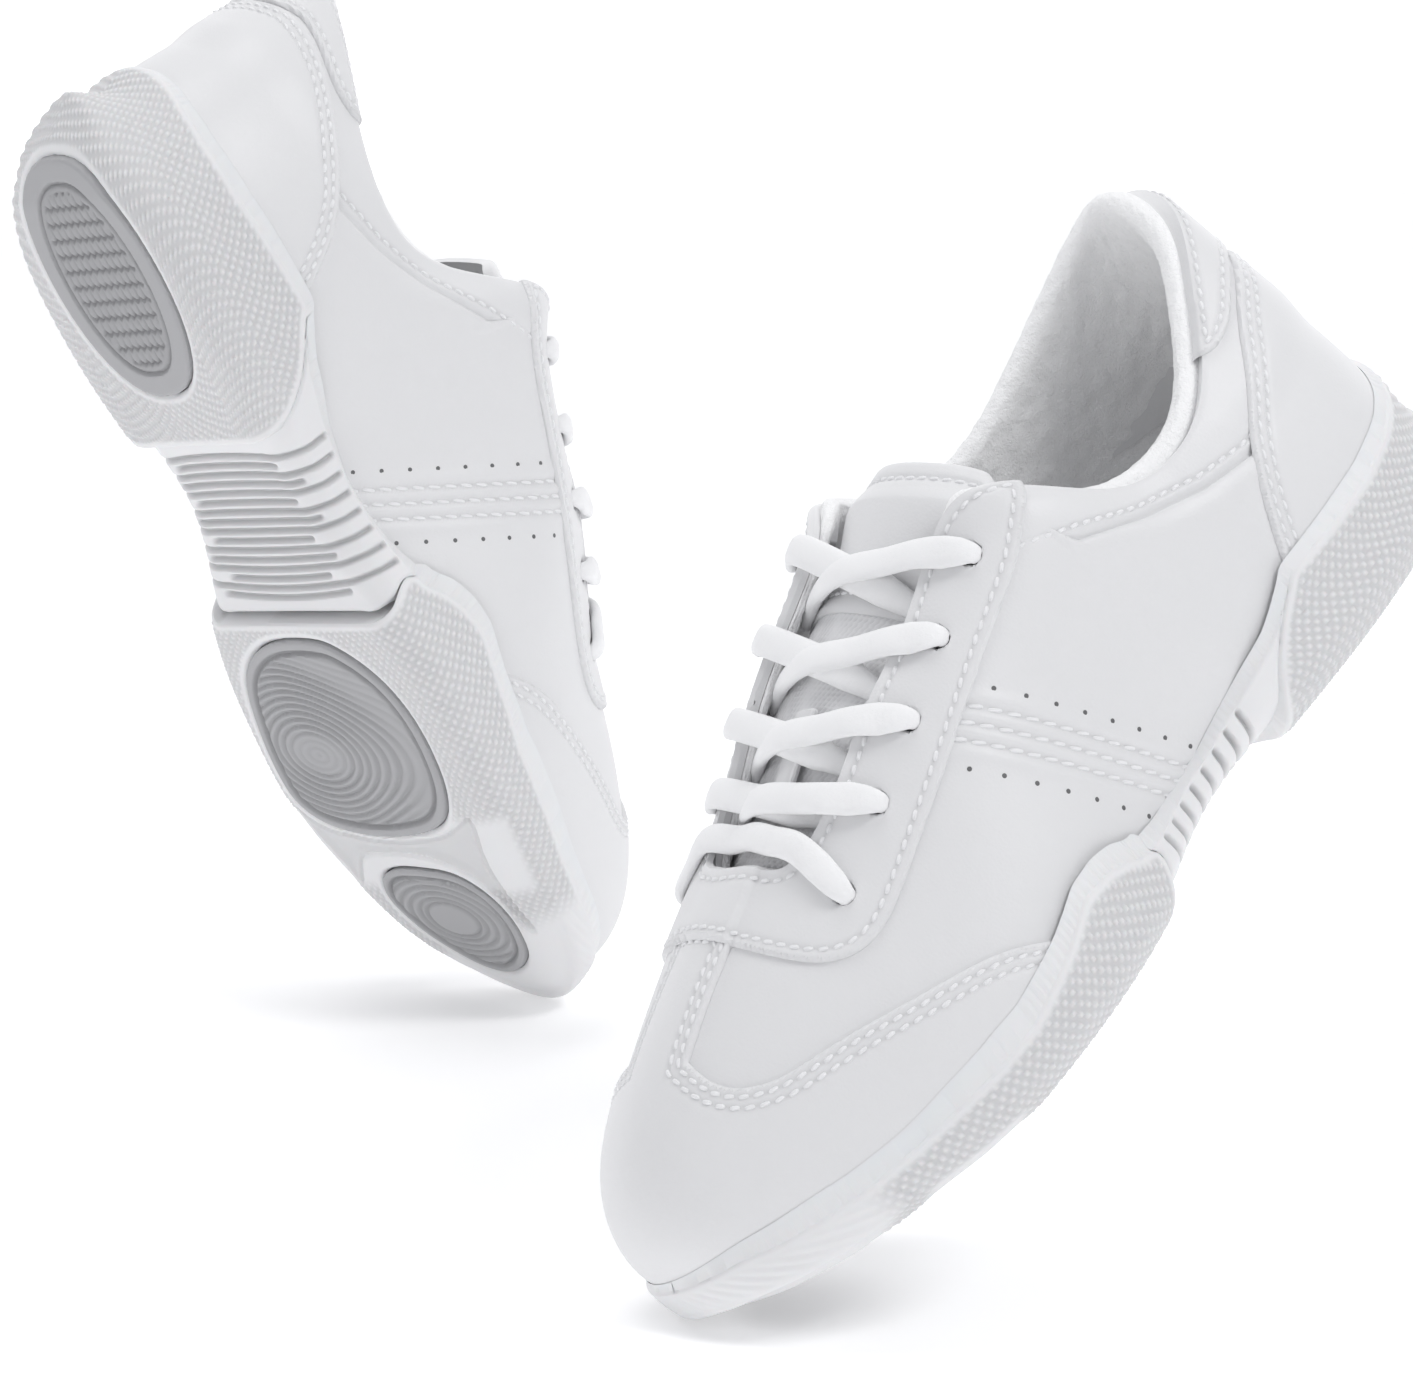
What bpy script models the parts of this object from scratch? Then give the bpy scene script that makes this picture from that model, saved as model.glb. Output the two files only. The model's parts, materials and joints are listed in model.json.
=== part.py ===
"""Pair of low cheerleading shoes, standing on their toes side by side.

Every piece is modelled once in the frame of a left shoe, in millimetres:
x runs from the back of the heel to the toe, y to the outer side of the
foot, z up from flat ground.  The right shoe is the same set of pieces
with y reversed.  Each shoe hangs on an empty that stands it on its toe.

The upper is one smooth surface S(u, t).  u runs round the shoe from the
heel over the outer side to the toe and back along the inner side, t runs
from the sole (0) to the collar and throat edge (1).  Every leather layer
is a slice of that surface at its own depth, trimmed by pattern outlines.
"""
import math

import bmesh
import bpy
import numpy as np
from mathutils import Matrix

for old in list(bpy.data.objects):
    bpy.data.objects.remove(old, do_unlink=True)

MM = 0.001

# ---------------------------------------------------------------- sizes, mm
GAP = 0.3                  # clearance between pieces that touch
LEATHER = 1.2              # thickness of an overlay
BASE = 1.4                 # thickness of the quarters under it
LINING = 1.6               # thickness of the fleece lining
SOLE_RIM = 1.5             # rubber thickness at the top of the sidewall
TREAD = 3.0                # thickness of the tread pads
TREAD_PROUD = 0.6          # how far the pads stand out of the sole
EYELET_R = 2.3             # radius of the punched eyelets
LACE_W = 6.0               # width of the flat-oval lace
LACE_T = 2.6               # thickness of the lace
INSOLE = 3.0               # thickness of the insole
FLEX_X = 209.0             # toe flex axis: where it crosses the midline
FLEX_Z = 15.0              # toe flex axis: height
FLEX_SLOPE = (0.258, -0.966)   # direction of that axis seen from above
FLEX_WEDGE = 26.5          # degrees left open for the toe to fold up
TONGUE_X = 198.0           # tongue hinge just behind its front edge
TONGUE_Z = 61.0

# ------------------------------------------------- stations of the upper, mm
# five rows each: sole edge, low wall, mid wall, shoulder, top edge
HEEL = [(8, 0, 11), (5.5, 0, 30), (5.5, 0, 48), (7, 0, 68), (7, -2, 94)]
TOE = [(261, -3, 21.5), (263.5, -3, 32), (252, -3, 49), (220, -3, 63), (188, -3, 71)]
OUTER_SIDE = [
    [(13, 17, 11), (10.5, 19, 30), (11, 18.5, 49), (12.5, 17, 68), (13, 13, 87)],
    [(26, 28, 11), (23.5, 30, 27), (24, 30, 43), (26.5, 28, 59), (28, 22.5, 76)],
    [(50, 34, 11), (49, 36, 25), (50, 36.5, 38), (51, 35.5, 51), (52, 31.5, 63)],
    [(75, 33, 11), (74, 36, 25), (74, 37.5, 40), (74.5, 37.5, 53), (75, 33, 65)],
    [(98, 31, 11), (94, 36, 30), (92, 38.5, 50), (91, 40, 68), (91, 35, 80)],
    [(115, 32, 11), (110, 36.5, 33), (106, 39.5, 55), (103, 40, 77), (102, 31, 91)],
    [(130, 36, 11), (126, 38.5, 32), (121, 40, 54), (116, 38, 76), (112.5, 24, 88.5)],
    [(148, 42, 11), (145, 43, 30), (139, 41.5, 49), (134, 37, 70.5), (131, 23, 81.5)],
    [(172, 46, 11), (168, 46, 27), (160, 43, 45), (153, 36, 64), (150.5, 23, 77.5)],
    [(200, 45, 12), (194, 43.5, 28), (185, 39, 43), (176.5, 32, 57), (171, 21, 70.5)],
    [(226, 37, 14), (220, 35, 30), (209, 31, 45), (197, 24, 57), (184.5, 15, 67)],
    [(249, 22, 18.5), (248, 21, 31), (238, 18, 46), (215, 12, 60), (187, 6, 69.5)],
]
INNER_SIDE = [
    [(13, -17, 11), (10.5, -19, 30), (10.5, -18.5, 49), (11, -17, 70), (12, -15, 94)],
    [(26, -29, 11), (23.5, -31, 29), (24, -30.5, 49), (25.5, -28, 69), (27, -24.5, 89)],
    [(50, -36, 11), (49, -37, 29), (50, -36.5, 47), (51, -35, 64), (52, -31, 81.5)],
    [(75, -33, 11), (74, -36, 31), (74, -37, 49), (74.5, -37, 65), (75, -33, 80)],
    [(98, -28, 11), (94, -34, 34), (92, -38, 56), (91, -39, 75), (91, -34, 89)],
    [(115, -28, 11), (110, -35, 38), (106, -40, 64), (103, -38, 86), (102, -29, 99)],
    [(130, -31, 11), (126, -39, 37), (121, -41, 63), (117, -35, 87), (113, -19, 98)],
    [(148, -38, 11), (145, -43, 34), (140, -42, 58), (136, -33.5, 81), (132, -18, 92)],
    [(175, -46, 11), (170, -46, 32), (163, -42, 55), (156, -33, 75), (152, -18, 85.5)],
    [(205, -46, 12), (199, -47, 30), (190, -42, 50), (180, -31, 68), (171, -17, 77.5)],
    [(233, -40, 14), (229, -41, 30), (218, -36, 51), (201, -24, 66), (184.5, -14, 72.5)],
    [(256, -25, 19), (257, -26, 31), (246, -24, 49), (217, -14, 63), (187.5, -8, 71.5)],
]
STATIONS = np.array([HEEL] + OUTER_SIDE + [TOE] + INNER_SIDE[::-1], float)
ROW_T = np.array([0.0, 0.27, 0.53, 0.78, 1.0])

# ------------------------------------------------- outlines of the sole, mm
# (x, half width) on each side, and (x, height) of the rim and of the ground
OUTER_EDGE = [(-1, 0), (2, 9), (6, 16), (13, 24), (22, 31), (35, 36), (50, 38.5),
              (66, 38.5), (80, 37), (95, 35), (110, 35), (122, 37), (133, 41.5),
              (142, 45), (158, 49.5), (175, 51), (190, 50), (205, 47), (220, 41.5),
              (235, 36), (248, 29), (257, 20.5), (264, 10), (267.5, -4)]
INNER_EDGE = [(-1, 0), (2, -9), (6, -16), (13, -24), (22, -32), (35, -38), (50, -40),
              (66, -39.5), (80, -37), (95, -33), (110, -31.5), (122, -34), (133, -38.5),
              (142, -42), (158, -48), (175, -51), (190, -52), (205, -50.5),
              (220, -48), (235, -44), (248, -37), (258, -28), (264.5, -17), (267.5, -4)]
RIM_LINE = [(-20, 38), (-1, 37), (5, 32), (12, 27.5), (20, 25), (35, 23.5), (50, 24),
            (66, 25), (72, 22), (80, 18.5), (95, 16), (110, 14.5), (130, 14),
            (140, 15), (144, 18), (150, 20.5), (158, 21.5), (170, 18), (187, 14.5),
            (200, 14.5), (221, 16), (235, 18), (251, 21.5), (258, 24), (280, 27)]
GROUND = [(-1, 12), (3, 7), (10, 2), (20, 0), (195, 0), (210, 1.5), (225, 4),
          (240, 6.6), (252, 9.6), (260, 12.5), (268, 15.5)]
ARCH_GROUND = [(60, 3.2), (88, 4.2), (110, 5), (134, 4), (160, 3)]

# ------------------------------------------------- pattern outlines (x, z), mm
# each outline is given for the outer and the inner side of the foot
COLLAR_LINE = {
    1: [(-30, 49), (20, 46), (36, 45.5), (51, 47), (65, 51), (80, 58), (95, 67),
        (110, 75.5), (135, 88)],
    -1: [(-30, 49), (20, 50), (36, 53), (51, 57), (65, 62), (80, 69), (95, 77),
         (110, 84.5), (135, 96)],
}
STAY_EDGE = {
    1: [(93.5, 120), (94, 84), (102, 79.5), (110, 75.5), (126, 70), (142, 64.5),
        (160, 58), (177, 51.8), (187, 48.8), (194, 48.6), (200, 51.5), (203.5, 57),
        (205, 64), (205, 120)],
    -1: [(93.5, 120), (94, 93), (102, 88), (110, 84), (126, 78), (142, 71.5),
         (160, 64.5), (177, 57.5), (187, 54), (194, 53), (200, 55), (203.5, 60),
         (205, 66), (205, 120)],
}
FOXING = [(-30, -10), (-30, 72.3), (12, 72.3), (20, 68.5), (28, 64), (38, 57), (49, 49),
          (57, 40), (62, 32), (66, 23), (72, -10)]
HEEL_TAB = [(-30, 73.2), (13.5, 73.2), (27, 66.5), (39, 66.5), (46, 130), (-30, 130)]
CAP_EDGE = [(160, -10), (167, 16), (168, 19.5), (168, 130), (300, 130), (300, -10)]
WINDOW = [(166, 18.5), (176, 26.5), (187, 32), (200, 36.5), (210.5, 40), (220, 42.5),
          (227, 44.5), (231, 48.5), (230.5, 54), (226, 62), (206, 90), (150, 90),
          (150, 18.5)]
STRIP = (8.5, -15.0)       # the cap's middle strip lies between these y values

# eyelet places on the surface: (station pair position, t)
EYELETS = [(-0.1, 0.87), (0.94, 0.87), (1.89, 0.865), (2.68, 0.865), (3.5, 0.80)]
LACE_LEAN = 0.32           # how far towards the toe a strand meets the throat edge, in stations
LACE_REACH = [0.85, 0.8, 0.7, 0.5]    # and how far along it ends on the other side
LACE_TURNS = 5


# =============================================================== smooth surface
def spline_slopes(knots, values, periodic):
    """Second-order-smooth slopes of a cubic spline through the values."""
    n = len(knots)
    h = np.diff(knots)
    system = np.zeros((n, n))
    right = np.zeros((n,) + values.shape[1:])
    for i in range(1, n - 1):
        system[i, i - 1] = h[i]
        system[i, i] = 2 * (h[i - 1] + h[i])
        system[i, i + 1] = h[i - 1]
        before = (values[i] - values[i - 1]) / h[i - 1]
        after = (values[i + 1] - values[i]) / h[i]
        right[i] = 3 * (h[i] * before + h[i - 1] * after)
    if periodic:
        system[0, 0] = 1
        system[0, n - 1] = -1
        last = n - 1
        system[last, last - 1] = h[0]
        system[last, last] = 2 * (h[last - 1] + h[0])
        system[last, 1] = h[last - 1]
        before = (values[last] - values[last - 1]) / h[last - 1]
        after = (values[1] - values[0]) / h[0]
        right[last] = 3 * (h[0] * before + h[last - 1] * after)
    else:
        system[0, 0] = 2
        system[0, 1] = 1
        right[0] = 3 * (values[1] - values[0]) / h[0]
        system[n - 1, n - 2] = 1
        system[n - 1, n - 1] = 2
        right[n - 1] = 3 * (values[n - 1] - values[n - 2]) / h[n - 2]
    flat = np.linalg.solve(system, right.reshape(n, -1))
    return flat.reshape(values.shape)


def spline_at(knots, values, slopes, where):
    i = int(np.clip(np.searchsorted(knots, where) - 1, 0, len(knots) - 2))
    h = knots[i + 1] - knots[i]
    s = (where - knots[i]) / h
    a = (1 + 2 * s) * (1 - s) ** 2
    b = s * (1 - s) ** 2
    c = s * s * (3 - 2 * s)
    d = s * s * (s - 1)
    return a * values[i] + b * h * slopes[i] + c * values[i + 1] + d * h * slopes[i + 1]


RING = np.concatenate([STATIONS, STATIONS[:1]])
STEP = np.linalg.norm(np.diff(RING[:, 0], axis=0), axis=1)
STEP = STEP + np.linalg.norm(np.diff(RING[:, 2], axis=0), axis=1)
KNOT = np.concatenate([[0.0], np.cumsum(np.sqrt(STEP))])
KNOT = KNOT / KNOT[-1]
RING_SLOPE = spline_slopes(KNOT, RING, True)
COUNT = len(STATIONS)
TOE_INDEX = 13


def surface(u, t):
    """Point of the outer face of the quarters."""
    rows = spline_at(KNOT, RING, RING_SLOPE, u % 1.0)
    return spline_at(ROW_T, rows, spline_slopes(ROW_T, rows, False), t)


def outward(u, t):
    """Unit normal of that face, pointing away from the foot."""
    e = 0.002
    along = surface(u + e, t) - surface(u - e, t)
    up = surface(u, min(t + 0.01, 1)) - surface(u, max(t - 0.01, 0))
    n = np.cross(up, along)
    return n / np.linalg.norm(n)


def at_station(index, side):
    """u of a station counted from the heel, on the outer (1) or inner (-1) side."""
    low = int(math.floor(index))
    part = index - low
    if side > 0:
        return KNOT[low] * (1 - part) + KNOT[low + 1] * part
    low_u = KNOT[COUNT - low]
    high_u = KNOT[COUNT - low - 1]
    return low_u * (1 - part) + high_u * part


# columns of the working grid: close together where the plan is tightly curved
COLUMN_STEPS = [0, 0.5, 1, 1.5, 2, 3, 4, 5, 6, 7, 8, 9, 10, 10.5, 11, 11.5, 12, 12.5]
COLUMNS = [at_station(s, 1) for s in COLUMN_STEPS]
COLUMNS = COLUMNS + [KNOT[TOE_INDEX]]
COLUMNS = COLUMNS + [at_station(s, -1) for s in COLUMN_STEPS[:0:-1]]
ROWS = [0.0, 0.16, 0.36, 0.56, 0.76, 0.9, 1.0]
GRID = np.array([[surface(u, t) for t in ROWS] for u in COLUMNS])
NORMAL = np.array([[outward(u, t) for t in ROWS] for u in COLUMNS])
NORMAL[:, 0, 2] = 0.0      # every layer ends level at the sole
NORMAL[:, 0] /= np.linalg.norm(NORMAL[:, 0], axis=1)[:, None]


def line_at(table, x):
    return float(np.interp(x, [p[0] for p in table], [p[1] for p in table]))


def smooth(a, b, x):
    s = min(1.0, max(0.0, (x - a) / (b - a)))
    return s * s * (3 - 2 * s)


# =============================================================== mesh helpers
class Shoe:
    """One shoe's empty, cutters and pieces."""

    def __init__(self, name, side, matrix):
        self.name = name
        self.side = side
        self.root = add_empty(name + "_frame", matrix)


def add_empty(name, matrix, parent=None):
    empty = bpy.data.objects.new(name, None)
    empty.empty_display_size = 0.02
    PARTS.objects.link(empty)
    empty.parent = parent
    empty.matrix_basis = matrix
    return empty


def add_mesh(shoe, name, points, faces, material, collection=None, parent=None):
    """Object from millimetre points in the left-shoe frame."""
    parent = parent or shoe.root
    verts = [(p[0] * MM, p[1] * MM * shoe.side, p[2] * MM) for p in points]
    if shoe.side < 0:
        faces = [tuple(reversed(f)) for f in faces]
    mesh = bpy.data.meshes.new(name)
    mesh.from_pydata(verts, [], faces)
    obj = bpy.data.objects.new(name, mesh)
    (collection or PARTS).objects.link(obj)
    obj.parent = parent
    offset = parent.matrix_basis.translation if parent is not shoe.root else None
    if offset is not None:
        mesh.transform(Matrix.Translation(-offset))
    bm = bmesh.new()
    bm.from_mesh(mesh)
    bmesh.ops.recalc_face_normals(bm, faces=bm.faces)
    bm.to_mesh(mesh)
    bm.free()
    if material is not None:
        mesh.materials.append(material)
    return obj


def split_quad(a, b, c, d):
    return [(a, b, c), (a, c, d)]


def shell(columns, rows, depth_in, depth_out, closed, drop=0.0):
    """Slice of the upper between two depths, as one closed skin.

    drop carries its lowest row further down, for a cutter that must pass
    the edge of the piece it cuts.
    """
    points = []
    for depth in (depth_in, depth_out):
        for i in columns:
            for j in rows:
                lower = np.array([0.0, 0.0, drop if j == 0 else 0.0])
                points.append(GRID[i, j] + NORMAL[i, j] * depth(i, j) - lower)
    m = len(rows)
    n = len(columns)
    faces = []
    last = n if closed else n - 1
    for i in range(last):
        k = (i + 1) % n
        for j in range(m - 1):
            a, b, c, d = i * m + j, k * m + j, k * m + j + 1, i * m + j + 1
            faces += split_quad(a, b, c, d)
            faces += [tuple(v + n * m for v in f) for f in split_quad(a, b, c, d)]
        for j in (0, m - 1):
            a, b = i * m + j, k * m + j
            faces += split_quad(a, b, b + n * m, a + n * m)
    if not closed:
        for i in (0, n - 1):
            for j in range(m - 1):
                a, b = i * m + j, i * m + j + 1
                faces += split_quad(a, b, b + n * m, a + n * m)
    return points, faces


def stacked_rings(rings, turned=()):
    """Closed solid through rings of equal length; ends closed side to side."""
    n = len(rings[0])
    points = [p for ring in rings for p in ring]
    faces = []
    for r in range(len(rings) - 1):
        for i in range(n):
            k = (i + 1) % n
            a, b = r * n + i, r * n + k
            if r in turned:
                faces += split_quad(b, b + n, a + n, a)
            else:
                faces += split_quad(a, b, b + n, a + n)
    half = n // 2
    for base in (0, (len(rings) - 1) * n):
        for i in range(half):
            a, b = base + i, base + i + 1
            c, d = base + (n - i - 1) % n, base + (n - i) % n
            if i == 0:
                faces.append((a, b, c))
            elif i == half - 1:
                faces.append((a, b, d))
            else:
                faces += split_quad(a, b, c, d)
    return points, faces


def prism_y(sections):
    """Cutter through (y, outline in x and z) sections with equal point counts."""
    n = len(sections[0][1])
    points = [(x, y, z) for y, outline in sections for x, z in outline]
    faces = [tuple(range(n))]
    for s in range(len(sections) - 1):
        for i in range(n):
            k = (i + 1) % n
            a, b = s * n + i, s * n + k
            faces.append((a, b, b + n, a + n))
    faces.append(tuple(range((len(sections) - 1) * n, len(sections) * n)))
    return points, faces


def side_prism(outline, low=-90, high=90):
    return prism_y([(high, outline), (low, outline)])


def two_sided(outer, inner):
    return prism_y([(90, outer), (6, outer), (-8, inner), (-90, inner)])


def flex_prism(outline):
    """Cutter drawn across the toe flex axis: (ahead of it, height)."""
    ax, ay = FLEX_SLOPE
    length = math.hypot(ax, ay)
    ax, ay = ax / length, ay / length
    points = []
    for reach in (-120, 120):
        for s, z in outline:
            points.append((FLEX_X - ay * s + ax * reach, ax * s + ay * reach, z))
    n = len(outline)
    faces = [tuple(range(n)), tuple(range(n, 2 * n))]
    for i in range(n):
        k = (i + 1) % n
        faces.append((i, k, k + n, i + n))
    return points, faces


def cutter(shoe, name, shape):
    return add_mesh(shoe, shoe.name + "_cut_" + name, shape[0], shape[1], None, CUTTERS)


def carve(obj, tool, mode):
    """Boolean of a piece with a cutter."""
    mod = obj.modifiers.new("carve", "BOOLEAN")
    mod.operation = mode
    mod.solver = "EXACT"
    mod.object = tool
    return obj


def material(name, colour, roughness):
    mat = bpy.data.materials.new(name)
    mat.use_nodes = True
    bsdf = mat.node_tree.nodes["Principled BSDF"]
    bsdf.inputs["Base Color"].default_value = (colour[0], colour[1], colour[2], 1)
    bsdf.inputs["Roughness"].default_value = roughness
    bsdf.inputs["Metallic"].default_value = 0.0
    return mat


# =============================================================== depths
def constant(value):
    return lambda i, j: value


def column_x(i):
    return GRID[i, 0][0]


def lining_top(i, j):
    """Outer face of the lining: deeper behind the padded collar."""
    t = ROWS[j]
    x = column_x(i)
    collar = smooth(0.5, 0.8, t) * (1 - smooth(92, 118, x))
    stiff = (1 - smooth(0.5, 0.8, t)) * (1 - smooth(60, 90, x)) * 1.5
    return -(BASE + GAP + collar * 4.0 + stiff)


def lining_back(i, j):
    return lining_top(i, j) - LINING


def sole_clearance(i, j):
    """The sidewall stands clear of the overlays at heel and toe."""
    x = column_x(i)
    heel = 1 - smooth(80, 96, x)
    toe = smooth(125, 147, x)
    return GAP + (LEATHER + GAP) * max(heel, toe)


# =============================================================== shoe pieces
def outline_ring(grow, height):
    """Ring round the sole outline at a height given by a function of x."""
    ring = []
    for i, u in enumerate(COLUMNS):
        p = surface(u, 0.0)
        centre = np.array([min(max(p[0], 40), 215), 0.0])
        way = np.array([p[0], p[1]]) - centre
        way = way / np.linalg.norm(way)
        best = edge_point(centre, way)
        best = best + way * grow
        ring.append((best[0], best[1], height(best[0])))
    return ring


def edge_point(centre, way):
    """Where a ray from the middle of the sole meets the outline."""
    edge = np.array(OUTER_EDGE + INNER_EDGE[::-1], float)
    for k in range(len(edge) - 1):
        a, b = edge[k], edge[k + 1]
        m = np.array([[way[0], a[0] - b[0]], [way[1], a[1] - b[1]]])
        if abs(np.linalg.det(m)) < 1e-9:
            continue
        s, q = np.linalg.solve(m, a - centre)
        if s > 0 and -1e-6 <= q <= 1 + 1e-6:
            return centre + way * s
    raise ValueError("the ray misses the sole outline")


def sole_tray(ground):
    """Cup sole: sidewall hugging the upper, floor inside, rounded underside."""
    wall_rows = [3, 2, 1, 0]
    rings = []
    n = len(COLUMNS)
    floor = [GRID[i, 0] + NORMAL[i, 0] * sole_clearance(i, 0) - [0, 0, 0.4]
             for i in range(n)]
    rings.append(floor)
    for j in wall_rows[::-1][1:]:
        rings.append([GRID[i, j] + NORMAL[i, j] * sole_clearance(i, j) for i in range(n)])
    for j in wall_rows[:-1]:
        rings.append([GRID[i, j] + NORMAL[i, j] * (sole_clearance(i, j) + SOLE_RIM)
                      for i in range(n)])
    rings.append(outline_ring(0.0, lambda x: line_at(ground, x) * 0.6 + 9.0))
    rings.append(outline_ring(-3.0, lambda x: line_at(ground, x) + 2.6))
    rings.append(outline_ring(-9.5, lambda x: line_at(ground, x)))
    return stacked_rings(rings, (3, 4, 5))


def pad_rings(outline, lift):
    """Tread pad: (x, outer y, inner y) outline; top and bottom follow the ground."""
    outer = [(x, a) for x, a, b in outline]
    inner = [(x, b) for x, a, b in outline[::-1]]
    plan = outer + inner[1:-1]
    rings = []
    for dz in lift:
        rings.append([(x, y, line_at(GROUND, x) + dz) for x, y in plan])
    return stacked_rings(rings)


def oval(x0, x1, half, skew, steps):
    """Oval tread outline, blunt at both ends."""
    out = []
    for k in range(steps + 1):
        a = math.pi * k / steps
        x = (x0 + x1) / 2 - (x1 - x0) / 2 * math.cos(a)
        y = half * math.sin(a) ** 0.85
        out.append((x, skew + y, skew - y))
    return out


def grown(outline, by):
    """The same outline, larger all round, for its pocket."""
    x0, x1 = outline[0][0], outline[-1][0]
    out = []
    for x, a, b in outline:
        s = (x - (x0 + x1) / 2) / (x1 - x0) * 2
        out.append((x + by * s, a + by * (1 - abs(s) ** 8), b - by * (1 - abs(s) ** 8)))
    return out


HEEL_PAD = oval(9, 76, 25, 0.5, 10)
FOREFOOT_PAD = [(147, 2, 0), (150, 16, -20), (158, 27, -33), (170, 33, -39),
                (183, 33, -41.5), (194, 29, -42), (202, 22, -42), (206, 8, -38),
                (207.5, -4, -8)]
TOE_PAD = [(218, -2, -4), (220, 12, -26), (228, 20, -30), (238, 20, -27), (247, 14, -19),
           (253, 6, -9), (254.5, 0, -2)]


def tongue_ring(k):
    """Section of the tongue's top face, from the outer to the inner side."""
    row = []
    outer_u = at_station(TONGUE_ROWS[k], 1)
    inner_u = at_station(TONGUE_ROWS[k], -1)
    deep = TONGUE_DEPTH + TONGUE_EXTRA[k]
    left = [surface(outer_u, t) + outward(outer_u, t) * -deep for t in (0.8, 0.97)]
    right = [surface(inner_u, t) + outward(inner_u, t) * -deep for t in (0.97, 0.8)]
    top = (surface(outer_u, 1) + surface(inner_u, 1)) / 2
    top = top + np.array([0, 0, -TONGUE_SINK])
    row = left + [top] + right
    return row


TONGUE_ROWS = [11.2, 10.5, 9.8, 9.0, 8.2, 7.4, 6.9]
TONGUE_DEPTH = 5.4
TONGUE_SINK = 1.6
TONGUE_EXTRA = [0, 0, 0, 0, 0.5, 3.0, 4.0]


def tongue_sections():
    rows = [tongue_ring(k) for k in range(len(TONGUE_ROWS))]
    last = np.array(rows[-1])
    before = np.array(rows[-3])
    step = (last[2] - before[2]) / np.linalg.norm(last[2] - before[2])
    lift = np.array([0.0, 0.0, 1.0])
    for reach, narrow, rise in ((9, 0.95, 0.5), (18, 0.9, 0.5), (26, 0.72, -1.0)):
        mid = last[2] + step * reach + lift * rise
        rows.append([mid + (p - last[2]) * np.array([0.6, narrow, 0.75]) for p in last])
    return np.array(rows)


def slab(rows, thick):
    """Closed sheet under a grid of top-face points."""
    m = len(rows)
    n = len(rows[0])
    top = [tuple(p) for row in rows for p in row]
    under = []
    for i in range(m):
        for j in range(n):
            along = rows[min(i + 1, m - 1)][j] - rows[max(i - 1, 0)][j]
            across = rows[i][min(j + 1, n - 1)] - rows[i][max(j - 1, 0)]
            normal = np.cross(along, across)
            normal = normal / np.linalg.norm(normal)
            if normal[2] > 0:
                normal = -normal
            under.append(tuple(rows[i][j] + normal * thick(i, j)))
    faces = []
    size = m * n
    for i in range(m - 1):
        for j in range(n - 1):
            a, b, c, d = i * n + j, i * n + j + 1, (i + 1) * n + j + 1, (i + 1) * n + j
            faces += split_quad(a, b, c, d)
            faces += [tuple(v + size for v in f) for f in split_quad(a, b, c, d)]
    border = [j for j in range(n)] + [i * n + n - 1 for i in range(1, m)]
    border += [(m - 1) * n + j for j in range(n - 2, -1, -1)]
    border += [i * n for i in range(m - 2, 0, -1)]
    for k in range(len(border)):
        a, b = border[k], border[(k + 1) % len(border)]
        faces += split_quad(a, b, b + size, a + size)
    return top + under, faces


def ribbon(path, ups, wide, thick):
    """Lace strand: an eight-sided flat-oval section swept along a path."""
    path = [np.array(p, float) for p in path]
    rings = []
    for k, p in enumerate(path):
        ahead = path[min(k + 1, len(path) - 1)] - path[max(k - 1, 0)]
        ahead = ahead / np.linalg.norm(ahead)
        across = np.cross(ahead, ups[k])
        across = across / np.linalg.norm(across)
        up = np.cross(across, ahead)
        ring = []
        for q in range(6):
            a = 2 * math.pi * q / 6
            ring.append(p + across * math.cos(a) * wide[k] / 2 + up * math.sin(a) * thick[k] / 2)
        rings.append(ring)
    n = 6
    points = [tuple(p) for ring in rings for p in ring]
    faces = []
    for r in range(len(rings) - 1):
        for i in range(n):
            q = (i + 1) % n
            a, b = r * n + i, r * n + q
            faces.append((a, b, b + n, a + n))
    faces.append(tuple(range(n)))
    faces.append(tuple(range((len(rings) - 1) * n, len(rings) * n)))
    return points, faces


def eyelet(k, side):
    """Place and normal of eyelet k, counted from the ankle."""
    station, t = EYELETS[k]
    u = at_station(7 + station, side)
    return surface(u, t), outward(u, t), u


def strand(k, side, bar):
    """From eyelet k over the stay; across to the far edge, or to the far eyelet."""
    place, n, u = eyelet(k, side)
    proud = LEATHER + GAP + LACE_T / 2 + 0.35
    lean = 0.06 if bar else LACE_LEAN
    edge_u = at_station(7 + EYELETS[k][0] + lean, side)
    edge = surface(edge_u, 1.0)
    edge_n = outward(edge_u, 1.0)
    far_index = EYELETS[k][0] + (0 if bar else LACE_REACH[k])
    far_u = at_station(7 + far_index, -side)
    far = surface(far_u, 1.0)
    far_n = outward(far_u, 1.0)
    up = np.array([0.3, 0, 1.0])
    up = up / np.linalg.norm(up)
    toward = edge - place
    path = [place + n * proud, place + toward * 0.3 + n * (proud + 0.25)]
    path.append(place + toward * 0.7 + (n + edge_n) / 2 * (proud + 0.5))
    path.append(edge + edge_n * (proud + 0.2))
    middle = (edge + far) / 2
    rise = LACE_T * 0.5 if side > 0 else LACE_T * 0.1
    path.append(edge * 0.7 + far * 0.3 + up * (2.6 + rise * 0.5))
    path.append(middle + up * (2.6 + rise))
    if bar:
        return path, up
    path.append(edge * 0.27 + far * 0.73 + up * 1.9)
    path.append(edge * 0.12 + far * 0.88 + up * 1.2)
    return path, up


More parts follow.
